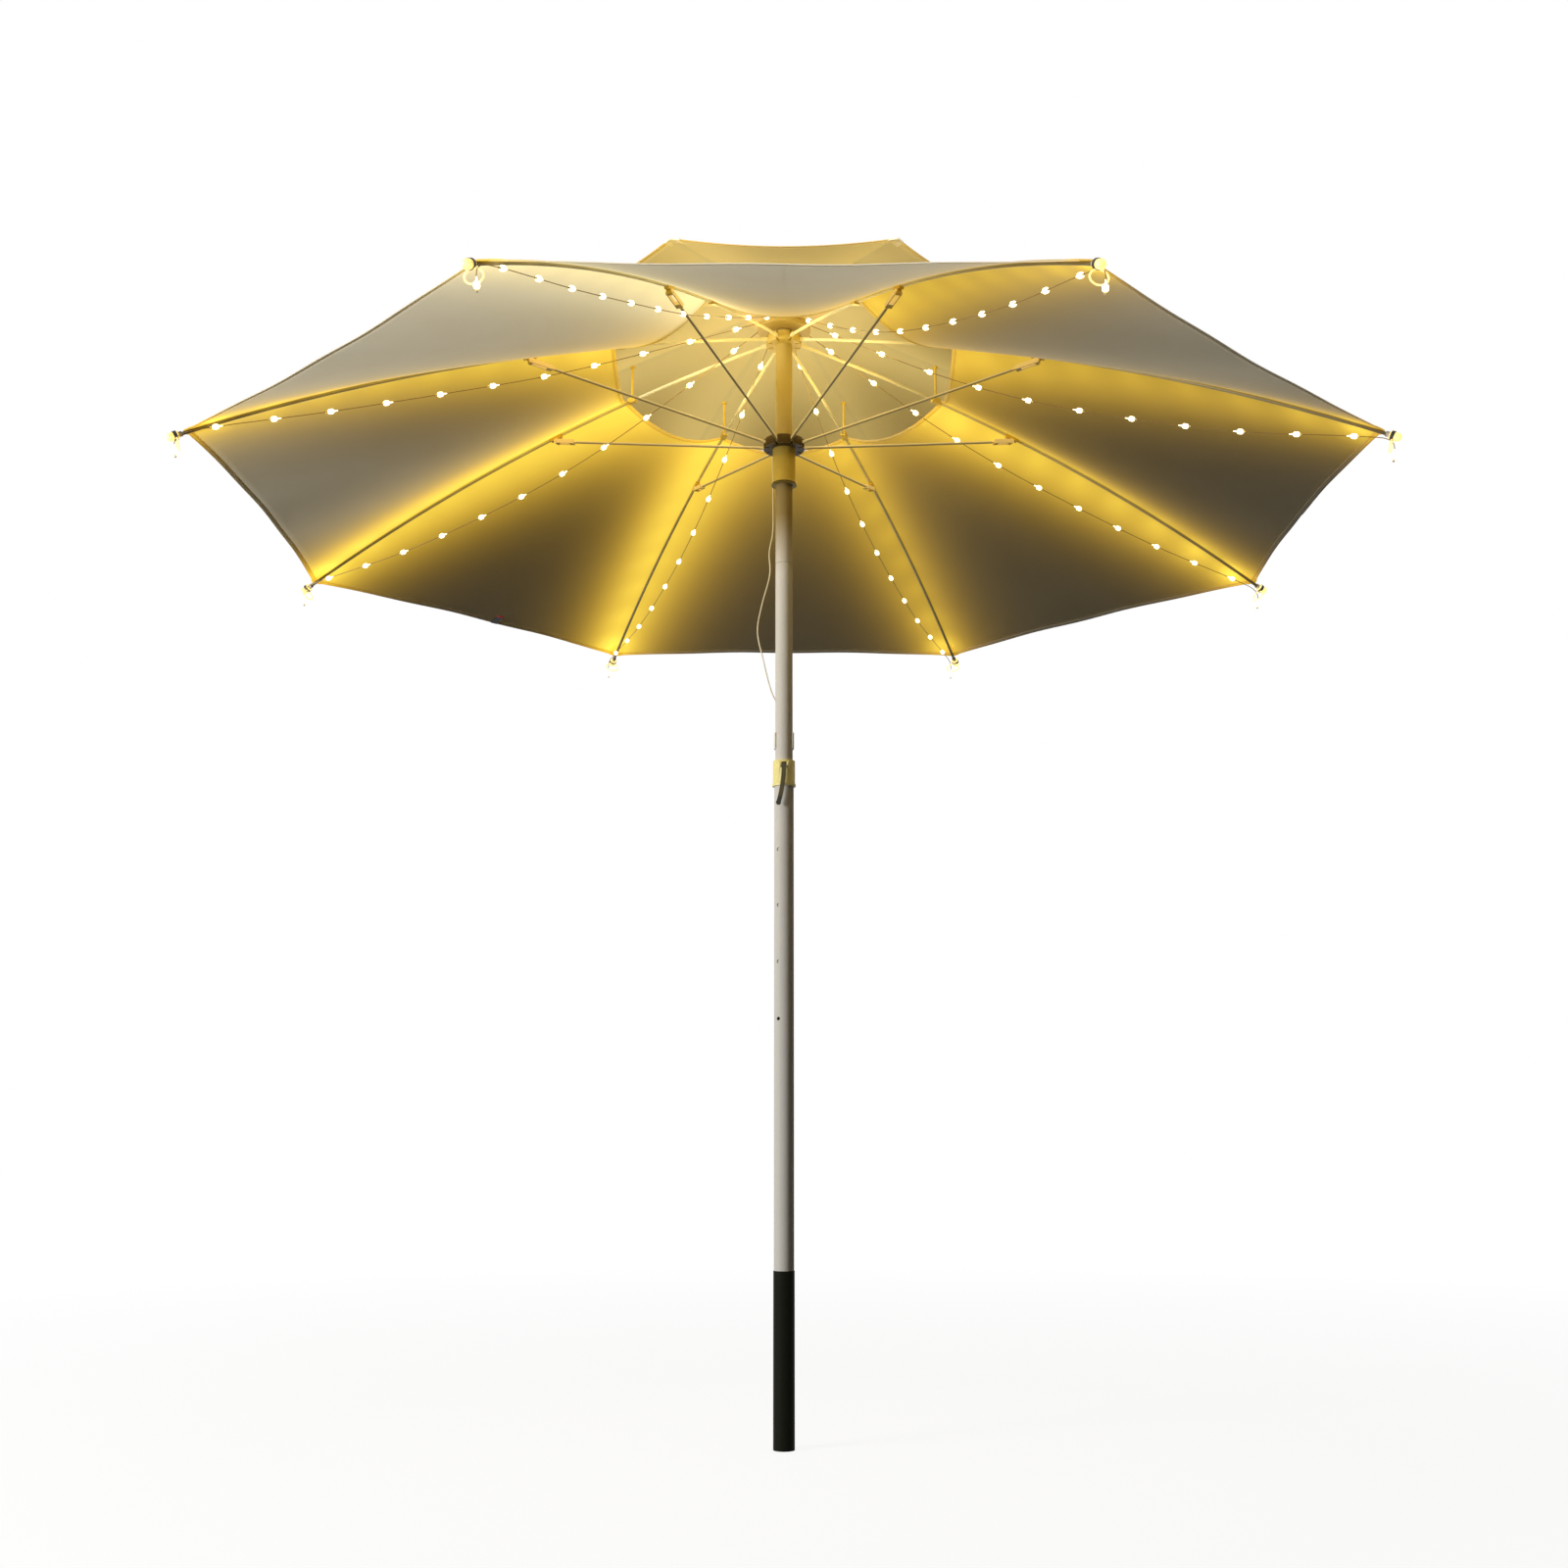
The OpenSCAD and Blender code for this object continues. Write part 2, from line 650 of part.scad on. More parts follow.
// The tube is solid round its flat blade, which turns on the hub's ring wire.
module rib_tube() {
    eye_turn = rib_slope(hub_pin_r);
    blade_end = hub_pin_r + blade_len;
    difference() {
        union() {
            bent_rod(rib_tube_r, hub_pin_r + blade_len * 0.6, rib_tip_r);
            translate([hub_pin_r, 0, hub_z]) rotate([0, eye_turn, 0]) upright_plate(blade_t) difference() {
                union() {
                    circle(rib_eye_r);
                    translate([0, -blade_half_h]) square([blade_len, 2 * blade_half_h]);
                }
                circle(eye_bore_r);
            }
        }
        bent_rod(rib_tube_r - rib_wall, blade_end + over, rib_tip_r + over);
    }
}

// A clip that grips the rib from below and carries the pivot tongue.
module rib_bracket() {
    along_rib(bracket_r) difference() {
        upright_plate(bracket_w) union() {
            translate([-bracket_len / 2, -rib_tube_r - bracket_wall])
                square([bracket_len, rib_tube_r + bracket_wall + bracket_wrap]);
            translate([-5, -bracket_drop]) square([10, bracket_drop - rib_tube_r - seat_gap]);
            translate([0, -bracket_drop]) circle(5);
        }
        rotate([0, 90, 0]) cylinder(r = rib_tube_r + seat_gap, h = bracket_len + 2 * over, center = true);
    }
}

module vent_post() {
    base_z = rib_z(post_r_out);
    cap_top = vent_z(post_r_out) - cloth_t / 2 - 3 * run_gap;
    union() {
        along_rib(post_r_out) difference() {
            translate([-8, -5, -rib_tube_r - 2]) cube([16, 10, 2 * rib_tube_r + 5]);
            rotate([0, 90, 0]) cylinder(r = rib_tube_r + seat_gap, h = 20, center = true);
        }
        translate([post_r_out, 0, base_z + rib_tube_r + 1.5])
            cylinder(r = post_r, h = cap_top - base_z - rib_tube_r - 2);
        translate([post_r_out, 0, cap_top]) rotate([0, atan(vent_fall / (vent_r - light_hub_r)), 0])
            translate([0, 0, -post_cap_t]) cylinder(r = post_cap_r, h = post_cap_t);
    }
}

module tip_cap() {
    along_rib(rib_tip_r) rotate([0, 90, 0]) difference() {
        translate([0, 0, -tip_cap_len]) cylinder(r = tip_cap_r, h = tip_cap_len + 3);
        translate([0, 0, -tip_cap_len - over])
            cylinder(r = rib_tube_r + seat_gap, h = tip_cap_len + over + seat_gap);
    }
}

module rib(k) {
    rotate([0, 0, rib_turn(k)]) {
        color(rib_cream) rib_tube();
        color(clip_yellow) rib_bracket();
        color(clip_yellow) vent_post();
        color([0.85, 0.85, 0.80]) tip_cap();
    }
}

// Stretchers: an eye on the runner's ring wire, and a fork whose cheeks pass beside the bracket.

cheek_t = 1.6;
crotch_len = 10;
fork_h = 8;
rivet_r = 2.2;
module stretcher(k) {
    color([0.62, 0.52, 0.36]) rotate([0, 0, rib_turn(k)]) translate([runner_pin_r, 0, runner_z])
        rotate([0, -stretcher_rise, 0]) union() {
            upright_plate(blade_t) difference() {
                union() {
                    circle(stretcher_eye_r);
                    translate([0, -stretcher_tube_r]) square([blade_len * 0.8, 2 * stretcher_tube_r]);
                }
                circle(eye_bore_r);
            }
            translate([blade_len * 0.6, 0, 0]) rotate([0, 90, 0])
                cylinder(r = stretcher_tube_r, h = stretcher_len - fork_len - blade_len * 0.6);
            translate([stretcher_len - fork_len - crotch_len, -fork_gap / 2 - cheek_t, -fork_h / 2])
                cube([crotch_len, fork_gap + 2 * cheek_t, fork_h]);
            for (side = [-1, 1]) translate([0, side * (fork_gap + cheek_t) / 2, 0]) {
                upright_plate(cheek_t) union() {
                    translate([stretcher_len - fork_len - crotch_len, -fork_h / 2])
                        square([fork_len + crotch_len, fork_h]);
                    translate([stretcher_len, 0]) circle(fork_h / 2 + 1);
                }
                translate([stretcher_len, side * 0.5, 0]) rotate([90, 0, 0])
                    cylinder(r = rivet_r, h = cheek_t + 1, center = true);
            }
        }
}

// Cloth: each panel reaches from its rib halfway to both neighbours.
// One edge is straight between ribs at every distance out, less a sag that grows to mid-panel.

cloth_lift = rib_tube_r / cos(rib_slope(rib_tip_r)) + cloth_t / 2 + 3 * run_gap;
function mean_span(r) = 2 * r * sin(rib_step / 2);
function bow_at(r) = rib_z(r) - chord_z(r);

// A point of the main cloth, t of the way to the next rib, at distance r along the rib.
function main_point(t, r, up) =
    let (far = 4 * t * (1 - t), s = (r - opening_r) / (rim_cloth_r - opening_r))
    let (rr = r - hem_scallop * far * s)
    let (x = rr * (1 - t * (1 - cos(rib_step))), y = rr * t * sin(rib_step))
    [x, y, rib_z(rr) + cloth_lift - far * bow_at(rr) + up];
rim_cloth_r = rib_tip_r - tip_cap_len - 2;

function vent_point(t, r, up) =
    let (far = 4 * t * (1 - t), s = (r - vent_in_r) / (vent_r - vent_in_r))
    let (rr = r - hem_scallop / 2 * far * s)
    let (x = rr * (1 - t * (1 - cos(rib_step))), y = rr * t * sin(rib_step))
    [x, y, vent_z(rr) - far * vent_sag * s + up];
vent_in_r = patch_r - 6;

function mirrored(p, side) = [p[0], side * p[1], p[2]];
function main_at(i, n, r, up) =
    let (f = i / n - 0.5, t = min(abs(f), 0.5 - slit_w / 2 / mean_span(r)))
    mirrored(main_point(t, r, up), sign(f));
function vent_at(i, n, r, up) =
    let (f = i / n - 0.5, t = min(abs(f), 0.5 - slit_w / 2 / mean_span(r)))
    mirrored(vent_point(t, r, up), sign(f));

// Faces of a closed slab whose lower points come first, n cells across and m cells out.
function slab_faces(n, m) =
    let (row = n + 1, layer = row * (m + 1))
    concat(
        [for (j = [0 : m - 1], i = [0 : n - 1]) let (a = j * row + i) [a, a + row + 1, a + row]],
        [for (j = [0 : m - 1], i = [0 : n - 1]) let (a = j * row + i) [a, a + 1, a + row + 1]],
        [for (j = [0 : m - 1], i = [0 : n - 1]) let (a = layer + j * row + i) [a, a + row, a + row + 1]],
        [for (j = [0 : m - 1], i = [0 : n - 1]) let (a = layer + j * row + i) [a, a + row + 1, a + 1]],
        [for (i = [0 : n - 1]) [i, i + layer, i + layer + 1]],
        [for (i = [0 : n - 1]) [i, i + layer + 1, i + 1]],
        [for (i = [0 : n - 1]) let (a = m * row + i) [a, a + layer + 1, a + layer]],
        [for (i = [0 : n - 1]) let (a = m * row + i) [a, a + 1, a + layer + 1]],
        [for (j = [0 : m - 1]) let (a = j * row) [a, a + row + layer, a + layer]],
        [for (j = [0 : m - 1]) let (a = j * row) [a, a + row, a + row + layer]],
        [for (j = [0 : m - 1]) let (a = j * row + n) [a, a + layer, a + row + layer]],
        [for (j = [0 : m - 1]) let (a = j * row + n) [a, a + row + layer, a + row]]
    );

main_across = 12;
main_out = 8;
vent_across = 8;
vent_out = 4;
module gore(k) {
    rotate([0, 0, rib_turn(k)]) {
        color(cloth_grey) polyhedron(
            [for (up = [-cloth_t / 2, cloth_t / 2], j = [0 : main_out], i = [0 : main_across])
                main_at(i, main_across, opening_r + (rim_cloth_r - opening_r) * j / main_out, up)],
            slab_faces(main_across, main_out));
        color([0.80, 0.72, 0.50]) polyhedron(
            [for (up = [-cloth_t / 2, cloth_t / 2], j = [0 : vent_out], i = [0 : vent_across])
                vent_at(i, vent_across, vent_in_r + (vent_r - vent_in_r) * j / vent_out, up)],
            slab_faces(vent_across, vent_out));
    }
}

// Strap that ties the closed parasol, turned in under the hem beside rib 3's panel edge.
strap_place = 0.45;
panel_tilt = atan(rib_fall / (rib_span * cos(rib_step / 2)));
module closing_strap() {
    seat = main_point(strap_place, rim_cloth_r - strap_len / 2, -cloth_t - run_gap);
    color([0.08, 0.07, 0.07]) rotate([0, 0, rib_turn(3)]) translate(seat)
        rotate([0, 0, rib_step / 2]) rotate([0, panel_tilt, 0])
            cube([strap_len, strap_w, cloth_t], center = true);
}

// A tube of eight sides along a route.
tube_sides = 8;
function unit(v) = v / norm(v);
function heading(path, i) =
    unit(path[min(i + 1, len(path) - 1)] - path[max(i - 1, 0)]);
function ring_points(p, way, r) =
    let (a = unit(cross(way, [0, 1, 0])), b = cross(way, a))
    [for (j = [0 : tube_sides - 1]) let (w = 360 / tube_sides * j) p + r * (cos(w) * a + sin(w) * b)];
module swept_tube(path, r) {
    n = len(path);
    sides = tube_sides;
    points = [for (i = [0 : n - 1]) each ring_points(path[i], heading(path, i), r)];
    walls = [for (i = [0 : n - 2], j = [0 : sides - 1], half = [0, 1])
        let (a = i * sides + j, b = i * sides + (j + 1) % sides)
        half == 0 ? [a, a + sides, b + sides] : [a, b + sides, b]];
    ends = concat(
        [for (j = [1 : sides - 2]) [0, j, j + 1]],
        [for (j = [1 : sides - 2]) let (a = (n - 1) * sides) [a, a + j + 1, a + j]]);
    polyhedron(points, concat(walls, ends));
}

module lead_wire() {
    start = [lead_x, lead_y, light_hub_low_z - gland_len];
    finish = [lead_x, lead_in_y, box_top_z + gland_len];
    color([0.93, 0.90, 0.78]) swept_tube(concat([start], lead_route, [finish]), lead_r);
}

// Strands: wire, beads threaded on it, and a clip on the rib's tip cap.

strand_tip_r = strand_run[len(strand_run) - 2][0];
function strand_drop(k, r) =
    let (f = min(1, (r - strand_start[0]) / (strand_tip_r - strand_start[0])))
    4 * f * (1 - f) * strand_sag[k - 1];
function strand_path(k) = concat([strand_start],
    [for (p = strand_run) [p[0], p[1], p[2] - strand_drop(k, p[0])]]);
function column(path, c) = [for (p = path) [p[0], p[c]]];

module bead() {
    bore_r = 2 * strand_wire_r;
    rotate([90, 0, 0]) rotate([0, 90, 0]) rotate_extrude() polygon([
        [bore_r, -bead_len / 2], [bead_r * 0.6, -bead_len / 2], [bead_r, -bead_len / 4],
        [bead_r, bead_len / 4], [bead_r * 0.6, bead_len / 2], [bore_r, bead_len / 2]
    ]);
}

clip_ring_t = 1.6;
clip_len = 5;
module tip_clip() {
    ring_in = tip_cap_r + run_gap;
    lug_end = strand_run[len(strand_run) - 1][1] - strand_wire_r - run_gap;
    along_rib(rib_tip_r) translate([-8, 0, 0]) difference() {
        union() {
            rotate([0, 90, 0]) cylinder(r = ring_in + clip_ring_t, h = clip_len, center = true);
            translate([-clip_len / 2, 0, -clip_len / 2]) cube([clip_len, lug_end, clip_len]);
        }
        rotate([0, 90, 0]) cylinder(r = ring_in, h = 2 * clip_len, center = true);
    }
}

module strand(k) {
    path = strand_path(k);
    side = column(path, 1);
    height = column(path, 2);
    rotate([0, 0, rib_turn(k)]) {
        color([0.85, 0.78, 0.55]) swept_tube(path, strand_wire_r);
        color([1, 0.92, 0.6]) for (i = [0 : led_count - 1]) {
            r = first_led_r + i * led_pitch;
            ahead = [1, lookup(r + 1, side) - lookup(r, side), lookup(r + 1, height) - lookup(r, height)];
            translate([r, lookup(r, side), lookup(r, height)])
                rotate([0, -asin(unit(ahead)[2]), atan2(ahead[1], ahead[0])]) bead();
        }
        color([1, 0.92, 0.6]) tail_bead(path);
        color([0.9, 0.9, 0.85]) tip_clip();
    }
}

// The last bead hangs on the strand's tail.
module tail_bead(path) {
    a = path[len(path) - 2];
    b = path[len(path) - 1];
    f = (tail_bead_z - b[2]) / (a[2] - b[2]);
    translate(b + (a - b) * f) rotate([0, atan2(a[0] - b[0], a[2] - b[2]), 0])
        rotate([0, -90, 0]) bead();
}

module rib_1() { rib(1); }
module rib_2() { rib(2); }
module rib_3() { rib(3); }
module rib_4() { rib(4); }
module rib_5() { rib(5); }
module rib_6() { rib(6); }
module rib_7() { rib(7); }
module rib_8() { rib(8); }
module stretcher_1() { stretcher(1); }
module stretcher_2() { stretcher(2); }
module stretcher_3() { stretcher(3); }
module stretcher_4() { stretcher(4); }
module stretcher_5() { stretcher(5); }
module stretcher_6() { stretcher(6); }
module stretcher_7() { stretcher(7); }
module stretcher_8() { stretcher(8); }
module canopy_gore_1() { gore(1); }
module canopy_gore_2() { gore(2); }
module canopy_gore_3() { gore(3); }
module canopy_gore_4() { gore(4); }
module canopy_gore_5() { gore(5); }
module canopy_gore_6() { gore(6); }
module canopy_gore_7() { gore(7); }
module canopy_gore_8() { gore(8); }
module strand_1() { strand(1); }
module strand_2() { strand(2); }
module strand_3() { strand(3); }
module strand_4() { strand(4); }
module strand_5() { strand(5); }
module strand_6() { strand(6); }
module strand_7() { strand(7); }
module strand_8() { strand(8); }

lower_pole();
ground_sleeve();
foot_plug();
pole_collar();
lever_pin();
lock_lever();
mid_pole();
top_pole();
joining_spigot();
guide_bush();
rib_hub();
hub_ring_wire();
light_hub_case();
light_hub_cover();
light_hub_board();
crown_plug();
crown_patch();
finial();
battery_case();
battery_cells();
battery_contacts();
control_board();
lead_wire();
battery_lid();
power_button();
runner();
runner_ring_wire();
closing_strap();
rib_1();
rib_2();
rib_3();
rib_4();
rib_5();
rib_6();
rib_7();
rib_8();
stretcher_1();
stretcher_2();
stretcher_3();
stretcher_4();
stretcher_5();
stretcher_6();
stretcher_7();
stretcher_8();
canopy_gore_1();
canopy_gore_2();
canopy_gore_3();
canopy_gore_4();
canopy_gore_5();
canopy_gore_6();
canopy_gore_7();
canopy_gore_8();
strand_1();
strand_2();
strand_3();
strand_4();
strand_5();
strand_6();
strand_7();
strand_8();
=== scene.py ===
import math

import bpy
import numpy as np
from mathutils import Matrix, Vector


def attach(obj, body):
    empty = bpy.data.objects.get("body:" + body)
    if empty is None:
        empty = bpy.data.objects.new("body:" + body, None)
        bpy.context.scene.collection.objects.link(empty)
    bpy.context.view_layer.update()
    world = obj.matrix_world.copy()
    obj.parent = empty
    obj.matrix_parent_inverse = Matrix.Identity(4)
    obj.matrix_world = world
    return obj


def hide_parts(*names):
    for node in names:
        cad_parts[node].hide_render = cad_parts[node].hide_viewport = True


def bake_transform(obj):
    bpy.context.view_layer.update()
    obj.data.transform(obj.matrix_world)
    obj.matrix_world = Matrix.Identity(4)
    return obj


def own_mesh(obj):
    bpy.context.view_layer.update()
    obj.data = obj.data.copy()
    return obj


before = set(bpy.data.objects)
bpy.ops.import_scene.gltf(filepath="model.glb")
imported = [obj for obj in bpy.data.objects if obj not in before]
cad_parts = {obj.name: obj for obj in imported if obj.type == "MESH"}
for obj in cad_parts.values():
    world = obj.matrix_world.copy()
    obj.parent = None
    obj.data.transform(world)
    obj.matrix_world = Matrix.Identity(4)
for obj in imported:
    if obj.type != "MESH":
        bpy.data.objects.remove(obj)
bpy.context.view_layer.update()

mm = 0.001

# The parasol's own lines, in metres, as its construction has them.
parasol = {
    "ribs": 8,
    "hubPivot": (0.027, 2.035),  # distance out, height
    "ribTip": (1.100, 1.668),
    "ribBow": 0.042,
    "ribTube": 0.003,
    "lightHubTop": (0.051, 2.070),
    "ventGap": 0.030,
    "ventFall": 0.095,
    "ventEdge": 0.498,
}
ribStep = 2 * math.pi / parasol["ribs"]
ribNumbers = range(1, parasol["ribs"] + 1)


def ribTurn(k):
    return (k - 0.5) * ribStep


def outward(k):
    return Vector((math.cos(ribTurn(k)), math.sin(ribTurn(k)), 0))


def sideways(k):
    return Vector((-math.sin(ribTurn(k)), math.cos(ribTurn(k)), 0))


# A rib's curve: part of a circle in its own upright plane.
(hubR, hubZ), (tipR, tipZ) = parasol["hubPivot"], parasol["ribTip"]
ribChord = math.hypot(tipR - hubR, hubZ - tipZ)
ribCurve = (ribChord ** 2 / 4 + parasol["ribBow"] ** 2) / (2 * parasol["ribBow"])
curveR = (hubR + tipR) / 2 - (hubZ - tipZ) / ribChord * (ribCurve - parasol["ribBow"])
curveZ = (hubZ + tipZ) / 2 - (tipR - hubR) / ribChord * (ribCurve - parasol["ribBow"])


def ribHeight(r):
    return curveZ + math.sqrt(ribCurve ** 2 - (r - curveR) ** 2)


def ribSlope(r):
    return math.asin((r - curveR) / ribCurve)


def chordHeight(r):
    return hubZ - (hubZ - tipZ) * (r - hubR) / (tipR - hubR)


def ventHeight(r):
    startR, startZ = parasol["lightHubTop"]
    return startZ + parasol["ventGap"] - parasol["ventFall"] * (r - startR) / (parasol["ventEdge"] - startR)


# Materials: colours are sRGB hex, and the sizes of cloud, grain and bump are in millimetres.

def toLinear(code):
    parts = [int(code[i:i + 2], 16) / 255 for i in (1, 3, 5)]
    return [c / 12.92 if c <= 0.04045 else ((c + 0.055) / 1.055) ** 2.4 for c in parts] + [1]


def addNode(tree, kind, values=None, sources=None, **settings):
    node = tree.nodes.new("ShaderNode" + kind)
    for name, value in settings.items():
        setattr(node, name, value)
    for socket, value in (values or {}).items():
        node.inputs[socket].default_value = value
    for socket, source in (sources or {}).items():
        tree.links.new(source, node.inputs[socket])
    return node


def startMaterial(name):
    material = bpy.data.materials.new(name)
    material.use_nodes = True
    material.node_tree.nodes.clear()
    return material, material.node_tree


mixFactor, mixA, mixB, mixResult = 0, 6, 7, 2  # a colour Mix node's sockets


def mixColours(tree, factor, a, b, blend="MIX"):
    # a and b are hex codes or sockets, factor a number or a socket
    values, sources = {}, {}
    for socket, term in ((mixFactor, factor), (mixA, a), (mixB, b)):
        if isinstance(term, str):
            values[socket] = toLinear(term)
        elif isinstance(term, float):
            values[socket] = term
        else:
            sources[socket] = term
    return addNode(tree, "Mix", values, sources, data_type="RGBA", blend_type=blend).outputs[mixResult]


def calculate(tree, operation, a, b, c=None):
    values, sources = {}, {}
    for socket, term in enumerate((a, b, c)):
        if isinstance(term, (int, float)):
            values[socket] = term
        elif term is not None:
            sources[socket] = term
    return addNode(tree, "Math", values, sources, operation=operation).outputs[0]


def times(tree, a, b):
    return calculate(tree, "MULTIPLY", a, b)


def mapRange(tree, value, low, high, start=0.0, end=1.0):
    ramp = {"From Min": low, "From Max": high, "To Min": start, "To Max": end}
    return addNode(tree, "MapRange", ramp, {"Value": value}).outputs[0]


def noise(tree, place, size, detail):
    return addNode(tree, "TexNoise", {"Scale": 1 / size, "Detail": detail}, {"Vector": place}).outputs["Fac"]


hard = {"unevenness": 0.05, "wearWidth": 1.2 * mm, "wearBend": (0.97, 0.80), "wear": 0.7}


def hardFinish(name, finish):
    # paint, plastic or metal: two close colours in soft clouds, coloured zones, a fine grain and rubbed
    # edges; some zones are painted shade or light, and a glow is painted light except on the LEDs
    material, tree = startMaterial(name)
    place = addNode(tree, "TexCoord").outputs["Object"]
    cloud = noise(tree, place, finish["cloud"] * mm, 3.0)
    grain = noise(tree, place, finish["grain"] * mm, 2.0)
    colour = mixColours(tree, cloud, finish["colour"], finish["shade"])
    for *zone, zoneColour in finish.get("zones", []):
        colour = mixColours(tree, zoneMask(tree, place, *zone), colour, zoneColour)
    if "wear" in finish:
        rounded = addNode(tree, "Bevel", {"Radius": hard["wearWidth"]}, samples=4).outputs[0]
        straight = addNode(tree, "NewGeometry").outputs["Normal"]
        agree = addNode(tree, "VectorMath", sources={0: rounded, 1: straight}, operation="DOT_PRODUCT")
        edge = mapRange(tree, agree.outputs["Value"], *hard["wearBend"], 0.0, hard["wear"])
        colour = mixColours(tree, edge, colour, finish["wear"])
    play = hard["unevenness"]
    roughness = mapRange(tree, cloud, 0.0, 1.0, finish["roughness"] - play, finish["roughness"] + play)
    bump = addNode(tree, "Bump", {"Strength": 0.6, "Distance": finish["bump"] * mm}, {"Height": grain})
    shader = addNode(tree, "BsdfPrincipled", {
        "Metallic": finish.get("metallic", 0.0),
        "IOR": finish.get("ior", 1.5),
        "Specular IOR Level": finish.get("specular", 0.5),
        "Transmission Weight": finish.get("transmission", 0.0),
    }, {"Base Color": colour, "Roughness": roughness, "Normal": bump.outputs[0]})
    # a glow is emission: on the LED resin a lamp's own light, on every other part painted light from the
    # strands
    if "glow" in finish:
        shader.inputs["Emission Color"].default_value = toLinear(finish["glow"])
        shader.inputs["Emission Strength"].default_value = finish["glowStrength"]
    share = None
    # painted light kept to a zone, or to the upper sides
    if "glowZone" in finish:
        share = zoneMask(tree, place, *finish["glowZone"])
    elif "glowAbove" in finish:
        normal = addNode(tree, "NewGeometry").outputs["Normal"]
        up = addNode(tree, "SeparateXYZ", sources={0: normal}).outputs["Z"]
        share = mapRange(tree, up, *finish["glowAbove"])
    if share:
        strength = times(tree, share, finish["glowStrength"])
        tree.links.new(strength, shader.inputs["Emission Strength"])
    addNode(tree, "OutputMaterial", sources={"Surface": shader.outputs[0]})
    return material


def zoneMask(tree, place, along, low, high, soft):
    # 1 between two distances from the pole's axis, or between two heights
    if along == "out":
        flat = addNode(tree, "VectorMath", {1: (1, 1, 0)}, {0: place}, operation="MULTIPLY").outputs[0]
        value = addNode(tree, "VectorMath", sources={0: flat}, operation="LENGTH").outputs["Value"]
    else:
        value = addNode(tree, "SeparateXYZ", sources={0: place}).outputs["Z"]
    middle, half = (low + high) / 2, (high - low) / 2
    away = calculate(tree, "ABSOLUTE", calculate(tree, "SUBTRACT", value, middle), 0.0)
    return mapRange(tree, away, half + soft, half - soft)


# A zone: measured out or by height, from, to, softness of its ends, colour.
crisp = 0.1 * mm
# Powder-coated steel: satin, with a faint orange peel. Under the canopy its upper part carries painted shade
# in the lights' warm colour, with a paler painted warm light near the hub.
poleFinish = {
    "colour": "#c9c5bc", "shade": "#d1cdc5", "cloud": 60, "grain": 1.2, "bump": 0.03,
    "roughness": 0.5, "specular": 0.06, "wear": "#a8a294",
    "zones": [
        ("height", 1.62, 2.2, 0.06, "#8f7c50"),
        ("height", 1.86, 2.2, 0.12, "#b39c58"),
    ],
}
# Black powder coat on the sleeve: duller, scuffed by the ground.
sleeveFinish = {
    "colour": "#15160f", "shade": "#1f2019", "cloud": 18, "grain": 0.9, "bump": 0.06,
    "roughness": 0.6, "specular": 0.04, "wear": "#3a3a34",
}
# Cream enamel on the rib tubes; the clips, posts and caps on them are moulded nylon.
bracketR, postR, tipCapR = 0.500, 0.328, 1.0855
ribFinish = {
    "colour": "#e6dcb4", "shade": "#d9cda0", "cloud": 40, "grain": 0.8, "bump": 0.02,
    "roughness": 0.38, "specular": 0.2,
    "zones": [
        # painted shade: the tubes darken towards the tips
        ("out", 0.86, 1.5, 0.3, "#5a4820"),
        ("out", bracketR - 15 * mm, bracketR + 14 * mm, crisp, "#d8b43c"),
        ("out", postR - 10 * mm, postR + 9 * mm, crisp, "#dcb93f"),
        ("out", tipCapR, 1.2, crisp, "#d9d4c4"),
    ],
    # painted light: a warm glow near the hub stands for the strands' light on the ribs
    "glow": "#ffd863", "glowStrength": 0.22,
    "glowZone": ("out", -0.3, 0.3, 0.25),
}
# Bronze-brown enamel on the stretchers, with paler forks. A painted glow on their upper sides stands for the
# strands' light.
stretcherFinish = {
    "colour": "#a58e50", "shade": "#968044", "cloud": 35, "grain": 0.8, "bump": 0.02,
    "roughness": 0.36, "specular": 0.25,
    "zones": [("out", 0.452, 0.52, crisp, "#d6b648")],
    "glow": "#ffe69a", "glowStrength": 0.5, "glowAbove": (-0.9, 0.6),
}
# Moulded nylon, glass filled: matt with a fine mottle.
hubFinish = {
    "colour": "#d0b65c", "shade": "#c0a54a", "cloud": 9, "grain": 0.6, "bump": 0.04, "roughness": 0.5,
}
collarFinish = {
    "colour": "#efe39a", "shade": "#e2d586", "cloud": 12, "grain": 0.6, "bump": 0.05,
    "roughness": 0.45, "wear": "#d8cf9a",
}
leverFinish = {
    "colour": "#4f4418", "shade": "#2f290f", "cloud": 14, "grain": 0.6, "bump": 0.04,
    "roughness": 0.4, "wear": "#8b7c3a",
    "zones": [("height", 1.05, 1.134, crisp, "#14130c")],
}
runnerFinish = {
    "colour": "#b9a048", "shade": "#aa903a", "cloud": 16, "grain": 0.7, "bump": 0.04,
    "roughness": 0.45, "specular": 0.15, "wear": "#cdbb6c",
    "zones": [("out", 0.0225, 0.06, crisp, "#43320c")],
}
# Zinc-plated spring wire.
wireFinish = {
    "colour": "#b5b2ab", "shade": "#9d9a92", "cloud": 5, "grain": 0.4, "bump": 0.01,
    "roughness": 0.32, "metallic": 1.0,
}
# Moulded ABS: the light hub, crown plug, finial and battery box.
lightHubFinish = {
    "colour": "#ccb262", "shade": "#bfa452", "cloud": 14, "grain": 0.7, "bump": 0.03, "roughness": 0.42,
}
hubCoverFinish = {
    **lightHubFinish, "colour": "#e3cf8e", "shade": "#d6bf78",
}
whitePlasticFinish = {
    "colour": "#ebe8dc", "shade": "#dfdbcb", "cloud": 12, "grain": 0.6, "bump": 0.03,
    "roughness": 0.4, "wear": "#f6f4ec",
}
blackPlasticFinish = {
    "colour": "#1c1c1a", "shade": "#262623", "cloud": 8, "grain": 0.6, "bump": 0.05,
    "roughness": 0.5, "wear": "#4b4b46",
}
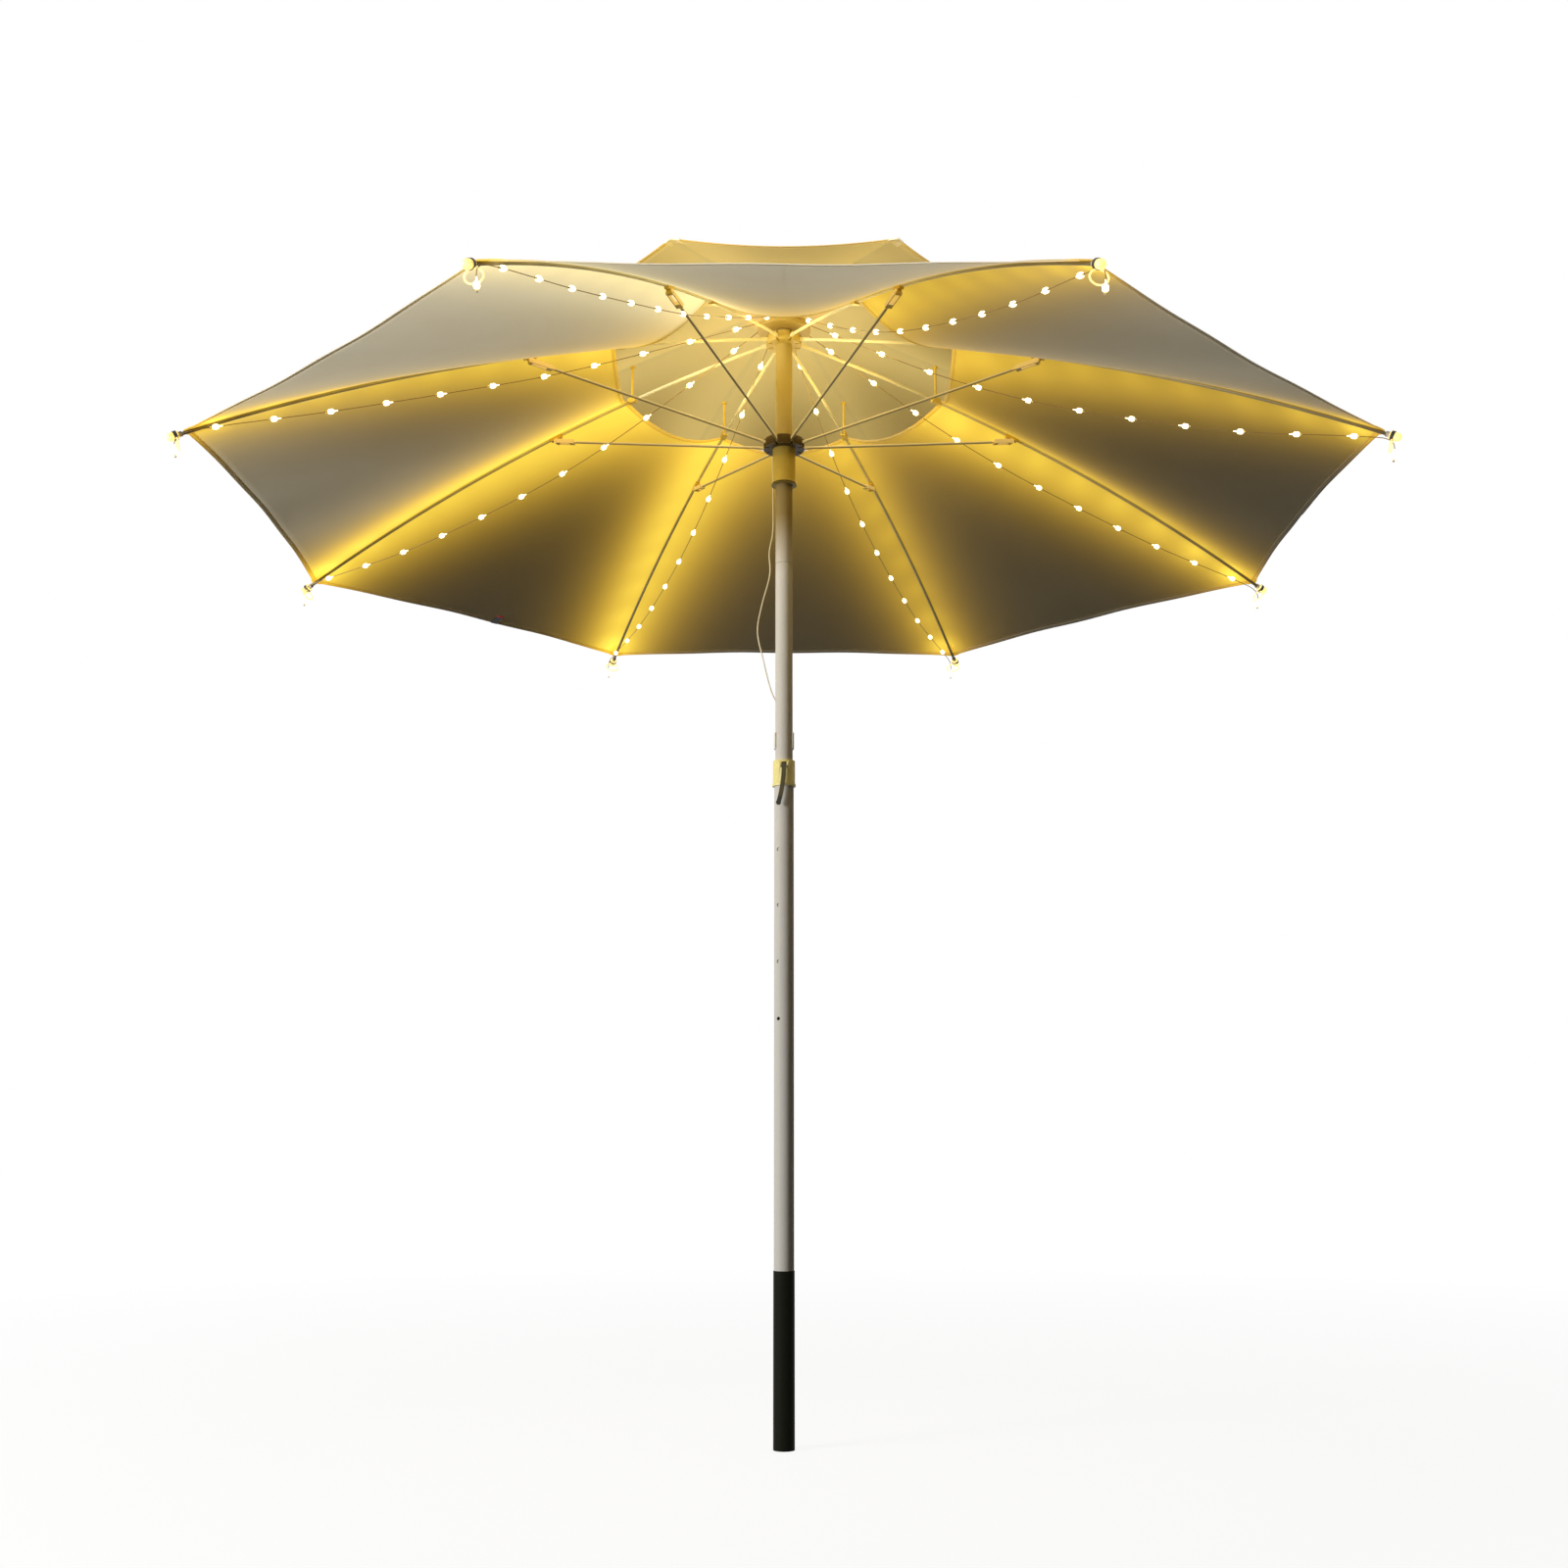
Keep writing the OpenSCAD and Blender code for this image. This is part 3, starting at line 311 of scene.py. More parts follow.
# Glass-fibre board under green solder mask, nickel-plated contacts, sleeved cells.
boardFinish = {
    "colour": "#1d6b3a", "shade": "#17582f", "cloud": 3, "grain": 0.5, "bump": 0.02, "roughness": 0.35,
}
contactFinish = {
    "colour": "#c9b87e", "shade": "#b7a56a", "cloud": 4, "grain": 0.4, "bump": 0.01,
    "roughness": 0.3, "metallic": 1.0,
}
cellFinish = {
    "colour": "#2f6f62", "shade": "#285f54", "cloud": 10, "grain": 0.8, "bump": 0.01, "roughness": 0.3,
}

nodeFinishes = {
    "powderCoatedSteel": (poleFinish, ["lower_pole", "mid_pole", "top_pole"]),
    "blackPowderCoat": (sleeveFinish, ["ground_sleeve"]),
    "creamEnamelledSteel": (ribFinish, [f"rib_{k}" for k in ribNumbers]),
    "bronzeEnamelledSteel": (stretcherFinish, [f"stretcher_{k}" for k in ribNumbers]),
    "yellowNylon": (hubFinish, ["rib_hub"]),
    "paleNylon": (collarFinish, ["pole_collar"]),
    "oliveNylon": (leverFinish, ["lock_lever"]),
    "brownNylon": (runnerFinish, ["runner"]),
    "zincPlatedWire": (wireFinish, ["joining_spigot", "lever_pin", "hub_ring_wire", "runner_ring_wire"]),
    "amberAbs": (lightHubFinish, ["light_hub_case"]),
    "creamAbs": (hubCoverFinish, ["light_hub_cover"]),
    "whiteAbs": (whitePlasticFinish, ["crown_plug", "finial", "battery_case", "battery_lid"]),
    "blackAbs": (blackPlasticFinish, ["guide_bush", "foot_plug", "power_button"]),
    "solderMaskedBoard": (boardFinish, ["light_hub_board", "control_board"]),
    "nickelPlatedSteel": (contactFinish, ["battery_contacts"]),
    "shrinkSleeve": (cellFinish, ["battery_cells"]),
}

# Edges of the moulded and pressed parts are broken, so that they catch the light; in millimetres.
softEdges = {
    "pole_collar": 0.8, "lock_lever": 0.8, "runner": 0.6, "rib_hub": 0.5,
    "light_hub_case": 0.4, "light_hub_cover": 0.8, "crown_plug": 0.8,
    "battery_case": 0.6, "battery_lid": 0.5, "power_button": 0.4,
}
edgeBreak = {"weld": 0.01 * mm, "segments": 2, "sharperThan": 50}


def cover(piece, *materials):
    piece.data.materials.clear()
    for material in materials:
        piece.data.materials.append(material)


def dressNode(name, material):
    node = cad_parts[name]
    cover(node, material)
    if name in softEdges:
        weld = node.modifiers.new("weld", "WELD")
        weld.merge_threshold = edgeBreak["weld"]
        bevel = node.modifiers.new("softEdge", "BEVEL")
        bevel.width = softEdges[name] * mm
        bevel.segments = edgeBreak["segments"]
        bevel.limit_method = "ANGLE"
        bevel.angle_limit = math.radians(edgeBreak["sharperThan"])


# The camera's place, pitch and lens are fitted to the photograph.
photoView = {"place": (0, -3.2076, 0.526), "pitch": 11.225, "lens": 40.82, "sensor": 36}
bpy.ops.object.camera_add(
    location=photoView["place"], rotation=(math.radians(90 + photoView["pitch"]), 0, 0))
camera = bpy.context.object
camera.data.lens = photoView["lens"]
camera.data.sensor_width = photoView["sensor"]
bpy.context.scene.camera = camera


def smoothLine(points, pieces):
    # a Catmull-Rom curve through the points, with that many pieces between two of them
    ends = [2 * points[0] - points[1]] + points + [2 * points[-1] - points[-2]]
    line = []
    for i in range(1, len(ends) - 2):
        before, a, b, after = ends[i - 1:i + 3]
        for j in range(pieces):
            t = j / pieces
            line.append(0.5 * (2 * a + (b - before) * t + (2 * before - 5 * a + 4 * b - after) * t ** 2
                               + (3 * a - before - 3 * b + after) * t ** 3))
    return line + [points[-1]]


def addObject(name, mesh):
    made = bpy.data.objects.new(name, mesh)
    bpy.context.scene.collection.objects.link(made)
    return made


offAxis = Vector((0.31, 0.17, 0.93))  # a direction that no cord takes


def tubeMesh(name, line, radius, sides):
    # a round tube with closed ends, whose rings stand square to the line
    vertices, faces = [], []
    across = (line[1] - line[0]).cross(offAxis).normalized()
    for i, point in enumerate(line):
        ahead = (line[min(i + 1, len(line) - 1)] - line[max(i - 1, 0)]).normalized()
        across = (across - ahead * across.dot(ahead)).normalized()
        other = ahead.cross(across)
        for j in range(sides):
            turn = 2 * math.pi * j / sides
            vertices.append(point + radius * (math.cos(turn) * across + math.sin(turn) * other))
    for i in range(len(line) - 1):
        for j in range(sides):
            a, b = i * sides + j, i * sides + (j + 1) % sides
            faces.append((a, b, b + sides, a + sides))
    last = (len(line) - 1) * sides
    faces.append(tuple(reversed(range(sides))))
    faces.append(tuple(range(last, last + sides)))
    mesh = bpy.data.meshes.new(name)
    mesh.from_pydata(vertices, [], faces)
    mesh.polygons.foreach_set("use_smooth", [len(f.vertices) == 4 for f in mesh.polygons])
    return addObject(name, mesh)


# Strands: the route of each in its rib's plane, as the construction has it, and the lights on it.
strand = {
    "wire": 0.75 * mm, "smoothing": 7, "port": (51.4 * mm, 6 * mm, 2.062),
    "route": [
        (0.285, 13 * mm, 1.955), (0.469, 14 * mm, 1.878), (0.659, 14 * mm, 1.811), (0.847, 14 * mm, 1.748),
        (1.034, 12 * mm, 1.691), (1.092, 11 * mm, 1.666), (1.095, 11 * mm, 1.632),
    ],
    "sag": [18 * mm, 56 * mm, 80 * mm, 47 * mm, 0, 0, 27 * mm, 36 * mm],
    "firstLight": 0.103, "lightPitch": 93.1 * mm, "lights": 11, "tailLight": 1.638, "wireSides": 8,
    "beadRadius": 4.5 * mm, "beadLength": 11 * mm, "beadSides": 12, "smoothBelow": 50,
    # the waist is a share of the length; each step of nose and tail is one too, with the width it keeps
    "beadWaist": 0.5, "beadNose": ((0.13, 0.86), (0.12, 0.55)),
    "beadTail": ((0.13, 0.8), (0.12, 0.4), (0.6, 0.5)), "sleeve": 0.4, "sleeveStep": 0.1,
}


def strandPoints(k):
    startR, endR = strand["port"][0], strand["route"][-2][0]
    points = []
    for r, side, z in [strand["port"]] + strand["route"]:
        share = min(1, (r - startR) / (endR - startR))
        drop = 4 * share * (1 - share) * strand["sag"][k - 1]
        points.append(outward(k) * r + sideways(k) * side + Vector((0, 0, z - drop)))
    return points


def pointAtDistance(line, k, r):
    # where a strand's line passes a distance from the pole, and its direction there
    for a, b in zip(line, line[1:]):
        near, far = a.dot(outward(k)), b.dot(outward(k))
        if near <= r <= far:
            return a.lerp(b, (r - near) / (far - near)), (b - a).normalized()


def strandLights(k, line):
    lights = [pointAtDistance(line, k, strand["firstLight"] + i * strand["lightPitch"])
              for i in range(strand["lights"])]
    for a, b in zip(line, line[1:]):
        if b.z <= strand["tailLight"] <= a.z:
            tail = a.lerp(b, (a.z - strand["tailLight"]) / (a.z - b.z)), (b - a).normalized()
    return lights + [tail]


strandLines = {k: smoothLine(strandPoints(k), strand["smoothing"]) for k in ribNumbers}
lightPlaces = {k: strandLights(k, strandLines[k]) for k in ribNumbers}

# Clear PVC over two tinned cores.
strandPvc = hardFinish("clearPvcCord", {
    "colour": "#a8843a", "shade": "#96742e", "cloud": 20, "grain": 1, "bump": 0.02,
    "roughness": 0.3, "specular": 0.5,
})
leadPvc = hardFinish("creamPvcCord", {
    "colour": "#efe6c6", "shade": "#e3d8b0", "cloud": 20, "grain": 1, "bump": 0.02, "roughness": 0.35,
})
# Epoxy drop over a warm white LED.
ledResin = hardFinish("warmLedResin", {
    "colour": "#fff4d2", "shade": "#fff0c4", "cloud": 4, "grain": 1, "bump": 0.01,
    "roughness": 0.2, "glow": "#fff0c0", "glowStrength": 3.4,
})
ledResin.cycles.emission_sampling = "NONE"  # the cloth's own glow stands for the light that they throw
# Clear shrink tube beside each bead.
clearSleeve = hardFinish("clearShrinkTube", {
    "colour": "#efe2b4", "shade": "#e6d69c", "cloud": 5, "grain": 0.8, "bump": 0.02,
    "roughness": 0.22, "transmission": 0.3, "ior": 1.48,
})

strandWires = {}
for k in ribNumbers:
    wire = tubeMesh(f"strand_wire_{k}", strandLines[k], strand["wire"], strand["wireSides"])
    cover(wire, strandPvc)
    strandWires[k] = wire

# The lead hangs from the light hub to the battery box behind the pole.
lead = {
    "radius": 1.2 * mm, "smoothing": 6, "sides": 12,
    "route": [
        (0, 45, 2047), (0, 45, 2010), (0, 45, 1920), (-9, 43, 1875), (-21, 37.5, 1835), (-21, 37.5, 1740),
        (-21, 37.5, 1665), (-28, 36, 1620), (-27, 36, 1575), (-42, 35, 1515), (-50, 34, 1464),
        (-40, 37, 1412), (-24, 46, 1350), (-4, 50, 1310), (0, 50, 1284),
    ],
}
leadLine = smoothLine([Vector(p) * mm for p in lead["route"]], lead["smoothing"])
leadWire = tubeMesh("hub_lead", leadLine, lead["radius"], lead["sides"])
cover(leadWire, leadPvc)
print("camera and cords are laid")


def setMode(mode):
    bpy.ops.object.mode_set(mode=mode)


def clearSelection():
    if bpy.context.object and bpy.context.object.mode == "EDIT":
        setMode("OBJECT")
    bpy.ops.object.select_all(action="DESELECT")


def choose(*pieces):
    clearSelection()
    for piece in pieces:
        piece.select_set(True)
    bpy.context.view_layer.objects.active = pieces[0]


def meshCopy(source, name, place):
    # a copy with its own mesh, and its place in that mesh
    copy = addObject(name, source.data.copy())
    copy.data.transform(place)
    return copy


def joinPieces(pieces, name):
    choose(*pieces)
    bpy.ops.object.join()
    joined = bpy.context.object
    joined.name = name
    joined.data.name = name
    return joined


def smoothPiece(piece, degrees):
    choose(piece)
    bpy.ops.object.shade_smooth_by_angle(angle=math.radians(degrees))


def addCylinder(sides, radius, depth, middle, materials):
    # along X, and left in edit mode for its ends to be shaped
    clearSelection()
    bpy.ops.mesh.primitive_cylinder_add(
        vertices=sides, radius=radius, depth=depth, rotation=(0, math.pi / 2, 0), location=(middle, 0, 0))
    made = bpy.context.object
    bpy.ops.object.transform_apply(location=True, rotation=True, scale=True)
    cover(made, *materials)
    setMode("EDIT")
    bpy.ops.mesh.select_mode(type="FACE")
    return made


def pushFaces(step, share=1):
    # draws the picked faces out along X and narrows them to a share
    bpy.ops.mesh.extrude_region_move(TRANSFORM_OT_translate={"value": (step, 0, 0)})
    bpy.ops.transform.resize(value=(1, share, share))


def looksAlong(face, side):
    # whether a face looks along X, to that side
    return face.normal.x * side > 0.99


def pickFaces(piece, wanted):
    setMode("OBJECT")
    for polygon in piece.data.polygons:
        polygon.select = wanted(polygon)
    setMode("EDIT")


# One bead, modelled at the origin along X and then copied to each light.
def makeBead():
    radius, length, sides = strand["beadRadius"], strand["beadLength"], strand["beadSides"]
    bead = addCylinder(sides, radius, length * strand["beadWaist"], 0, (ledResin, clearSleeve))
    for side, steps in ((1, strand["beadNose"]), (-1, strand["beadTail"])):
        reach = length * (strand["beadWaist"] / 2 + sum(step for step, _ in steps))
        for step, share in steps:
            pickFaces(bead, lambda p: looksAlong(p, side) and len(p.vertices) == sides)
            pushFaces(side * length * step, share)
        pickFaces(bead, lambda p: looksAlong(p, side) and len(p.vertices) == sides)
        bpy.ops.mesh.inset(thickness=radius * strand["sleeveStep"])
        pushFaces(side * length * strand["sleeve"])
        setMode("OBJECT")
        for polygon in bead.data.polygons:
            if polygon.center.x * side > reach + 0.1 * mm:
                polygon.material_index = 1
    smoothPiece(bead, strand["smoothBelow"])
    return bead


beadModel = makeBead()
strandBeads = {}
for k in ribNumbers:
    beads = []
    for i, (point, way) in enumerate(lightPlaces[k]):
        turned = way.to_track_quat("X", "Z").to_matrix().to_4x4()
        beads.append(meshCopy(beadModel, f"bead_{k}_{i}", Matrix.Translation(point) @ turned))
    strandBeads[k] = joinPieces(beads, f"strand_lights_{k}")
bpy.data.objects.remove(beadModel)
print("lights are strung")

# Cloth. Every panel lies between two ribs; each sheet here is the two half panels beside one rib.
cloth = {
    "thickness": 0.6 * mm,
    "liftOverRib": parasol["ribTube"] / math.cos(ribSlope(tipR)) + 1.6 * mm,
    "inner": 0.340, "outer": 1.082, "scallop": 18 * mm, "pucker": 0.5 * mm, "puckerPitch": 38 * mm,
    "puckerFrom": 6 * mm, "puckerTo": 28 * mm,
    "puckerShift": 1.7,  # from one seam to the next
    "puckerWander": 2.3, "wander": 9, "flute": 1.2 * mm, "flutes": 3, "hem": 9 * mm,
    "innerHem": 8 * mm, "foldGap": 0.9 * mm, "columns": 32, "rows": 36,
    # painted light: the panels beside this rib get paler painted glow colours in their middles
    "paintedPaleRib": 6,  # the rib whose panels the sky light comes through most
    "keep": 0.672,  # of its width when folded
}
vent = {
    # painted light: a base glow over the whole vent
    "litBase": 0.22,  # light on the whole vent, beside that of the single lamps
    "inner": 0.036,
    "posted": 0.084,  # from here out the vent hangs free of the crown patch
    "outer": parasol["ventEdge"],
    "scallop": 9 * mm, "sag": 12 * mm, "hem": 9 * mm, "innerHem": 0, "foldGap": 0.9 * mm, "columns": 28,
    "rows": 20, "keep": 0.86,
}


def panelDirection(panel, u):
    return outward(panel).lerp(outward(panel + 1), u)


def clothPuckers(panel, u, r):
    # the seam thread draws the cloth up in short puckers beside each rib, and the hem flutes a little
    side = min(u, 1 - u) * 2 * r * math.sin(ribStep / 2)
    nearSeam = (1 - math.exp(-(side / cloth["puckerFrom"]) ** 2)) * math.exp(-(side / cloth["puckerTo"]) ** 2)
    seam = panel if u <= 0.5 else panel + 1
    wander = cloth["puckerShift"] * seam + cloth["puckerWander"] * math.sin(cloth["wander"] * r)
    wave = math.sin(2 * math.pi * r / cloth["puckerPitch"] + wander)
    share = max(0, (r - cloth["inner"]) / (cloth["outer"] - cloth["inner"]))
    fluting = math.sin(2 * math.pi * cloth["flutes"] * u + panel) * 4 * u * (1 - u)
    return cloth["pucker"] * nearSeam * wave + cloth["flute"] * share ** 4 * fluting


def mainPoint(panel, u, r):
    far = 4 * u * (1 - u)
    share = (r - cloth["inner"]) / (cloth["outer"] - cloth["inner"])
    distance = r - cloth["scallop"] * far * share
    height = ribHeight(distance) - far * (ribHeight(distance) - chordHeight(distance))
    point = panelDirection(panel, u) * distance
    point.z = height + cloth["liftOverRib"] + clothPuckers(panel, u, r)
    return point


def ventPoint(panel, u, r):
    far = 4 * u * (1 - u)
    share = max(0, (r - vent["posted"]) / (vent["outer"] - vent["posted"]))
    distance = r - vent["scallop"] * far * share
    point = panelDirection(panel, u) * distance
    point.z = ventHeight(distance) - far * vent["sag"] * share
    return point


def foldedRows(size):
    # from the inner hem's raw edge to the outer one's: distance out, drop below the sheet, distance along it
    inner, outer, gap = size["inner"], size["outer"], size["foldGap"]
    innerHem, hem = size["innerHem"], size["hem"]
    steps, bulge = (0, 0.33, 0.66, 1), 0.3 * gap
    made = []
    if innerHem:
        made += [(inner + innerHem * s, gap, inner - innerHem * s - gap) for s in reversed(steps)]
        made += [(inner - bulge, gap / 2, inner - gap / 2)]
    for i in range(size["rows"] + 1):
        r = inner + (outer - inner) * i / size["rows"]
        made.append((r, 0, r))
    made += [(outer + bulge, gap / 2, outer + gap / 2)]
    made += [(outer - hem * s, gap, outer + gap + hem * s) for s in steps]
    return made


def shareOfPanel(k, offset):
    # an offset from rib k, in panel widths, as a panel and a place across it
    return (k, offset) if offset >= 0 else (k - 1, 1 + offset)


def keepEdgesSharp(mesh):
    # smooth cloth whose cut edges stay sharp, so that two sheets meet without a crease in the light
    uses = {}
    for polygon in mesh.polygons:
        polygon.use_smooth = True
        for key in polygon.edge_keys:
            uses[key] = uses.get(key, 0) + 1
    for edge in mesh.edges:
        edge.use_edge_sharp = uses[edge.key] == 1


def gridSheet(name, vertices, uvs, rows, columns, closed=False):
    # a sheet from rows of points, where a closed one's last column meets its first
    count = columns if closed else columns + 1
    faces = []
    for j in range(rows):
        for i in range(columns):
            a, b = j * count + i, j * count + (i + 1) % count
            faces.append((a, a + count, b + count, b))
    mesh = bpy.data.meshes.new(name)
    mesh.from_pydata(vertices, [], faces)
    layer = mesh.uv_layers.new(name="cloth")
    for loop in mesh.loops:
        layer.data[loop.index].uv = uvs[loop.vertex_index]
    return addObject(name, mesh)


def clothSheet(name, k, rows, columns, pointAt, halfWidth=None):
    # a grid of cloth over rib k; UVs are metres across from the rib and along the cloth
    vertices, across = [], []
    for r, drop, along in rows:
        panelWidth = 2 * r * math.sin(ribStep / 2)
        reach = 0.5 if halfWidth is None else min(0.5, halfWidth / panelWidth)
        for i in range(columns + 1):
            offset = (2 * i / columns - 1) * reach
            point = pointAt(*shareOfPanel(k, offset), r)
            point.z -= drop
            vertices.append(point)
            across.append((offset * panelWidth, along))
    sheet = gridSheet(name, vertices, across, len(rows) - 1, columns)
    keepEdgesSharp(sheet.data)
    return sheet


allLights = np.array([point for k in ribNumbers for point, _ in lightPlaces[k]])
# The strands' light, painted on the cloth and tapes as their glow.
glowModel = {
    "pool": 52 * mm, "poolShare": 0.76, "haze": 80 * mm, "hazeReach": 100 * mm, "hazeShare": 0.05,
    "drop": 0.12,  # how far a lamp's height under the cloth counts in the pool and the haze
    "tipFade": 0.5, "spot": 22 * mm, "spotShare": 1.5,
    "strandShare": [0.8, 0.6, 1.45, 1.5, 0.75, 0.92, 0.6, 0.55],
}
lightShares = np.array([
    glowModel["strandShare"][k - 1] * (1 - glowModel["tipFade"] * (math.hypot(point.x, point.y) / tipR) ** 2)
    for k in ribNumbers for point, _ in lightPlaces[k]
])


def addPaintedGlow(piece, base=0.0):
    # painted warm light on each point of a piece, kept as its glow: a pool round each lamp, a wide haze from
    # all of them, and a small bright spot where a lamp hangs close
    points = np.array([v.co for v in piece.data.vertices])
    away = (allLights[None, :, :] - points[:, None, :]) * (1, 1, glowModel["drop"])
    distance = np.linalg.norm(away, axis=2)
    pools = np.exp(-distance / glowModel["pool"]) @ lightShares
    haze = (glowModel["hazeReach"] ** 2 / (distance ** 2 + glowModel["haze"] ** 2)) ** 1.5 @ lightShares
    trueDistance = np.linalg.norm(allLights[None, :, :] - points[:, None, :], axis=2)
    spots = np.exp(-trueDistance / glowModel["spot"]).sum(axis=1)
    light = base + glowModel["poolShare"] * pools + glowModel["hazeShare"] * haze
    attribute = piece.data.attributes.new("glow", "FLOAT", "POINT")
    light = light / (1 + light ** 4) ** 0.25 + glowModel["spotShare"] * spots
    attribute.data.foreach_set("value", light.astype(np.float32))


# Woven polyester, coated on its back: matt, with a fine even weave and sewn hems.
# The weave is drawn at 1.5 mm, about four times as coarse as it is, so that it shows.
weave = {
    "pitch": 1.5 * mm, "bump": 0.12 * mm, "stitchLength": 3.6 * mm, "stitchPitch": 5.2 * mm,
    "threadWidth": 0.7 * mm, "hemStitch": 2 * mm, "seamStitch": 5 * mm, "seam": 0.8 * mm,
    "cloud": 90 * mm, "slub": 6 * mm, "groove": 0.16, "seamShare": 0.55, "stitchShare": 0.6,
    "stitchHeight": 3.0, "threadShade": 0.86, "middleFade": (0.95, 0.3), "roughness": 0.86,
}


def stitchRow(tree, distance, at, dash):
    near = calculate(tree, "COMPARE", distance, at, weave["threadWidth"])
    return times(tree, near, dash)


def dashes(tree, along):
    steps = calculate(tree, "FRACT", calculate(tree, "DIVIDE", along, weave["stitchPitch"]), 0.0)
    return calculate(tree, "LESS_THAN", steps, weave["stitchLength"] / weave["stitchPitch"])


def middleOfPanel(tree, aside, along):
    # 1 beside the rib, falling to 0 where the next rib's panel begins
    halfWidth = times(tree, along, math.tan(ribStep / 2))
    share = calculate(tree, "DIVIDE", aside, halfWidth)
    return mapRange(tree, share, *weave["middleFade"])


def wovenCloth(name, look):
    material, tree = startMaterial(name)
    uv = addNode(tree, "UVMap", uv_map="cloth").outputs[0]
    separate = addNode(tree, "SeparateXYZ", sources={0: uv})
    across, along = separate.outputs["X"], separate.outputs["Y"]
    aside = calculate(tree, "ABSOLUTE", across, 0.0)
    place = addNode(tree, "TexCoord").outputs["Object"]
    waveScale = 2 * math.pi / (20 * weave["pitch"])
    warp, weft = (
        addNode(tree, "TexWave", {"Scale": waveScale, "Distortion": 0.4}, {"Vector": uv}, bands_direction=way)
        for way in ("X", "Y"))
    threads = calculate(tree, "ADD", warp.outputs["Fac"], weft.outputs["Fac"])
    cloud = noise(tree, place, weave["cloud"], 4.0)
    slub = noise(tree, place, weave["slub"], 2.0)
    colour = mixColours(tree, cloud, look["colour"], look["shade"])
    grooves = times(tree, calculate(tree, "SUBTRACT", 2.0, threads), weave["groove"])
    colour = mixColours(tree, grooves, colour, look["thread"])
    # painted light: a paler colour near the crown
    if "paintedCrownLight" in look:
        crown = calculate(tree, "LESS_THAN", along, vent["posted"] + 5 * mm)
        colour = mixColours(tree, crown, colour, look["paintedCrownLight"])
    acrossDash, alongDash = dashes(tree, across), dashes(tree, along)
    rowsOfStitches = [stitchRow(tree, aside, weave["seamStitch"], alongDash)]
    rowsOfStitches += [stitchRow(tree, along, at, acrossDash) for at in look["hemStitches"]]
    stitches = rowsOfStitches[0]
    for other in rowsOfStitches[1:]:
        stitches = calculate(tree, "MAXIMUM", stitches, other)
    glow = addNode(tree, "Attribute", attribute_name="glow").outputs["Fac"]
    # painted light: the glow's colours, and the painted warm shade laid where the glow is, may turn paler
    # mid-panel
    middle, other = middleOfPanel(tree, aside, along), look.get("middle", look)
    paintedWarmShade, closeGlow, farGlow = (
        mixColours(tree, middle, look[part], other[part]) for part in ("paintedWarmShade", "glow", "farGlow"))
    # painted shade: the cloth darkens and warms where the glow is
    colour = mixColours(tree, glow, colour, paintedWarmShade, "MULTIPLY")
    seam = calculate(tree, "LESS_THAN", aside, weave["seam"])
    colour = mixColours(tree, times(tree, seam, weave["seamShare"]), colour, look["seam"])
    colour = mixColours(tree, times(tree, stitches, weave["stitchShare"]), colour, look["stitch"])
    # painted shade: the reflecting side is darkened, most on the canopy's underside
    faced = mixColours(tree, 1.0, colour, look["paintedFacingShade"], "MULTIPLY")
    height = calculate(tree, "ADD", threads, times(tree, stitches, weave["stitchHeight"]))
    height = calculate(tree, "ADD", height, slub)
    bump = addNode(tree, "Bump", {"Strength": 0.5, "Distance": weave["bump"]}, {"Height": height})
    # painted light: the glow as emission, standing for the strands' light on the cloth
    lit = times(tree, glow, look["glowShare"] / (1 - look["through"]))
    onThreads = mapRange(tree, times(tree, threads, 0.5), 0.0, 1.0, weave["threadShade"], 1.0)
    shaded = times(tree, lit, onThreads)
    warmth = mixColours(tree, glow, farGlow, closeGlow)
    emission = addNode(tree, "VectorMath", sources={0: warmth, "Scale": shaded}, operation="SCALE")
    shader = addNode(tree, "BsdfPrincipled", {
        "Roughness": weave["roughness"], "IOR": 1.5, "Specular IOR Level": 0.25,
        "Sheen Weight": 0.15, "Sheen Roughness": 0.5, "Emission Strength": 1.0,
    }, {"Base Color": faced, "Normal": bump.outputs[0], "Emission Color": emission.outputs[0]})
    letThrough = addNode(tree, "BsdfTranslucent", sources={"Color": colour, "Normal": bump.outputs[0]})
    mixed = addNode(tree, "MixShader", {0: look["through"]}, {1: shader.outputs[0], 2: letThrough.outputs[0]})
    addNode(tree, "OutputMaterial", sources={"Surface": mixed.outputs[0]})
    material.cycles.emission_sampling = "NONE"
    return material


def hemRows(edge, hem):
    # where a hem's stitches lie along the cloth: on the sheet and on its turned edge
    inset = hem - weave["hemStitch"]
    return [edge - inset, edge + inset]


mainHems = hemRows(cloth["outer"], cloth["hem"]) + hemRows(cloth["inner"], cloth["innerHem"])
ventHems = hemRows(vent["outer"], vent["hem"]) + [vent["posted"] + weave["hemStitch"]]
# painted shade darkens the underside's reflecting side; the strands' light is painted on as glow
canopyLook = {
    "colour": "#eee9da", "shade": "#e8e2d0", "thread": "#cbc3ab", "stitch": "#a89f84", "seam": "#958b6c",
    "hemStitches": mainHems, "through": 0.62, "paintedFacingShade": "#70695a", "glow": "#ffdf52", "farGlow": "#ffc63a",
    "glowShare": 1.0, "paintedWarmShade": "#f2e0a6",
}
# the top side: a faint painted shade and a weaker painted glow through it
topLook = {
    **canopyLook, "colour": "#f7f3ea", "shade": "#f2eee2", "through": 0.7, "paintedFacingShade": "#f4f0e6",
    "glowShare": 0.18,
}
# painted light: the vent's underside is yellower than its top, and paler near the crown, for the strands'
# warm light
ventLook = {
    **canopyLook, "colour": "#ead9a0", "shade": "#e2cf92", "thread": "#c2ad6c", "hemStitches": ventHems,
    "paintedCrownLight": "#f0dc96", "glowShare": 0.47, "glow": "#ffec9c", "farGlow": "#ffe68c", "paintedWarmShade": "#fbf4d8",
}
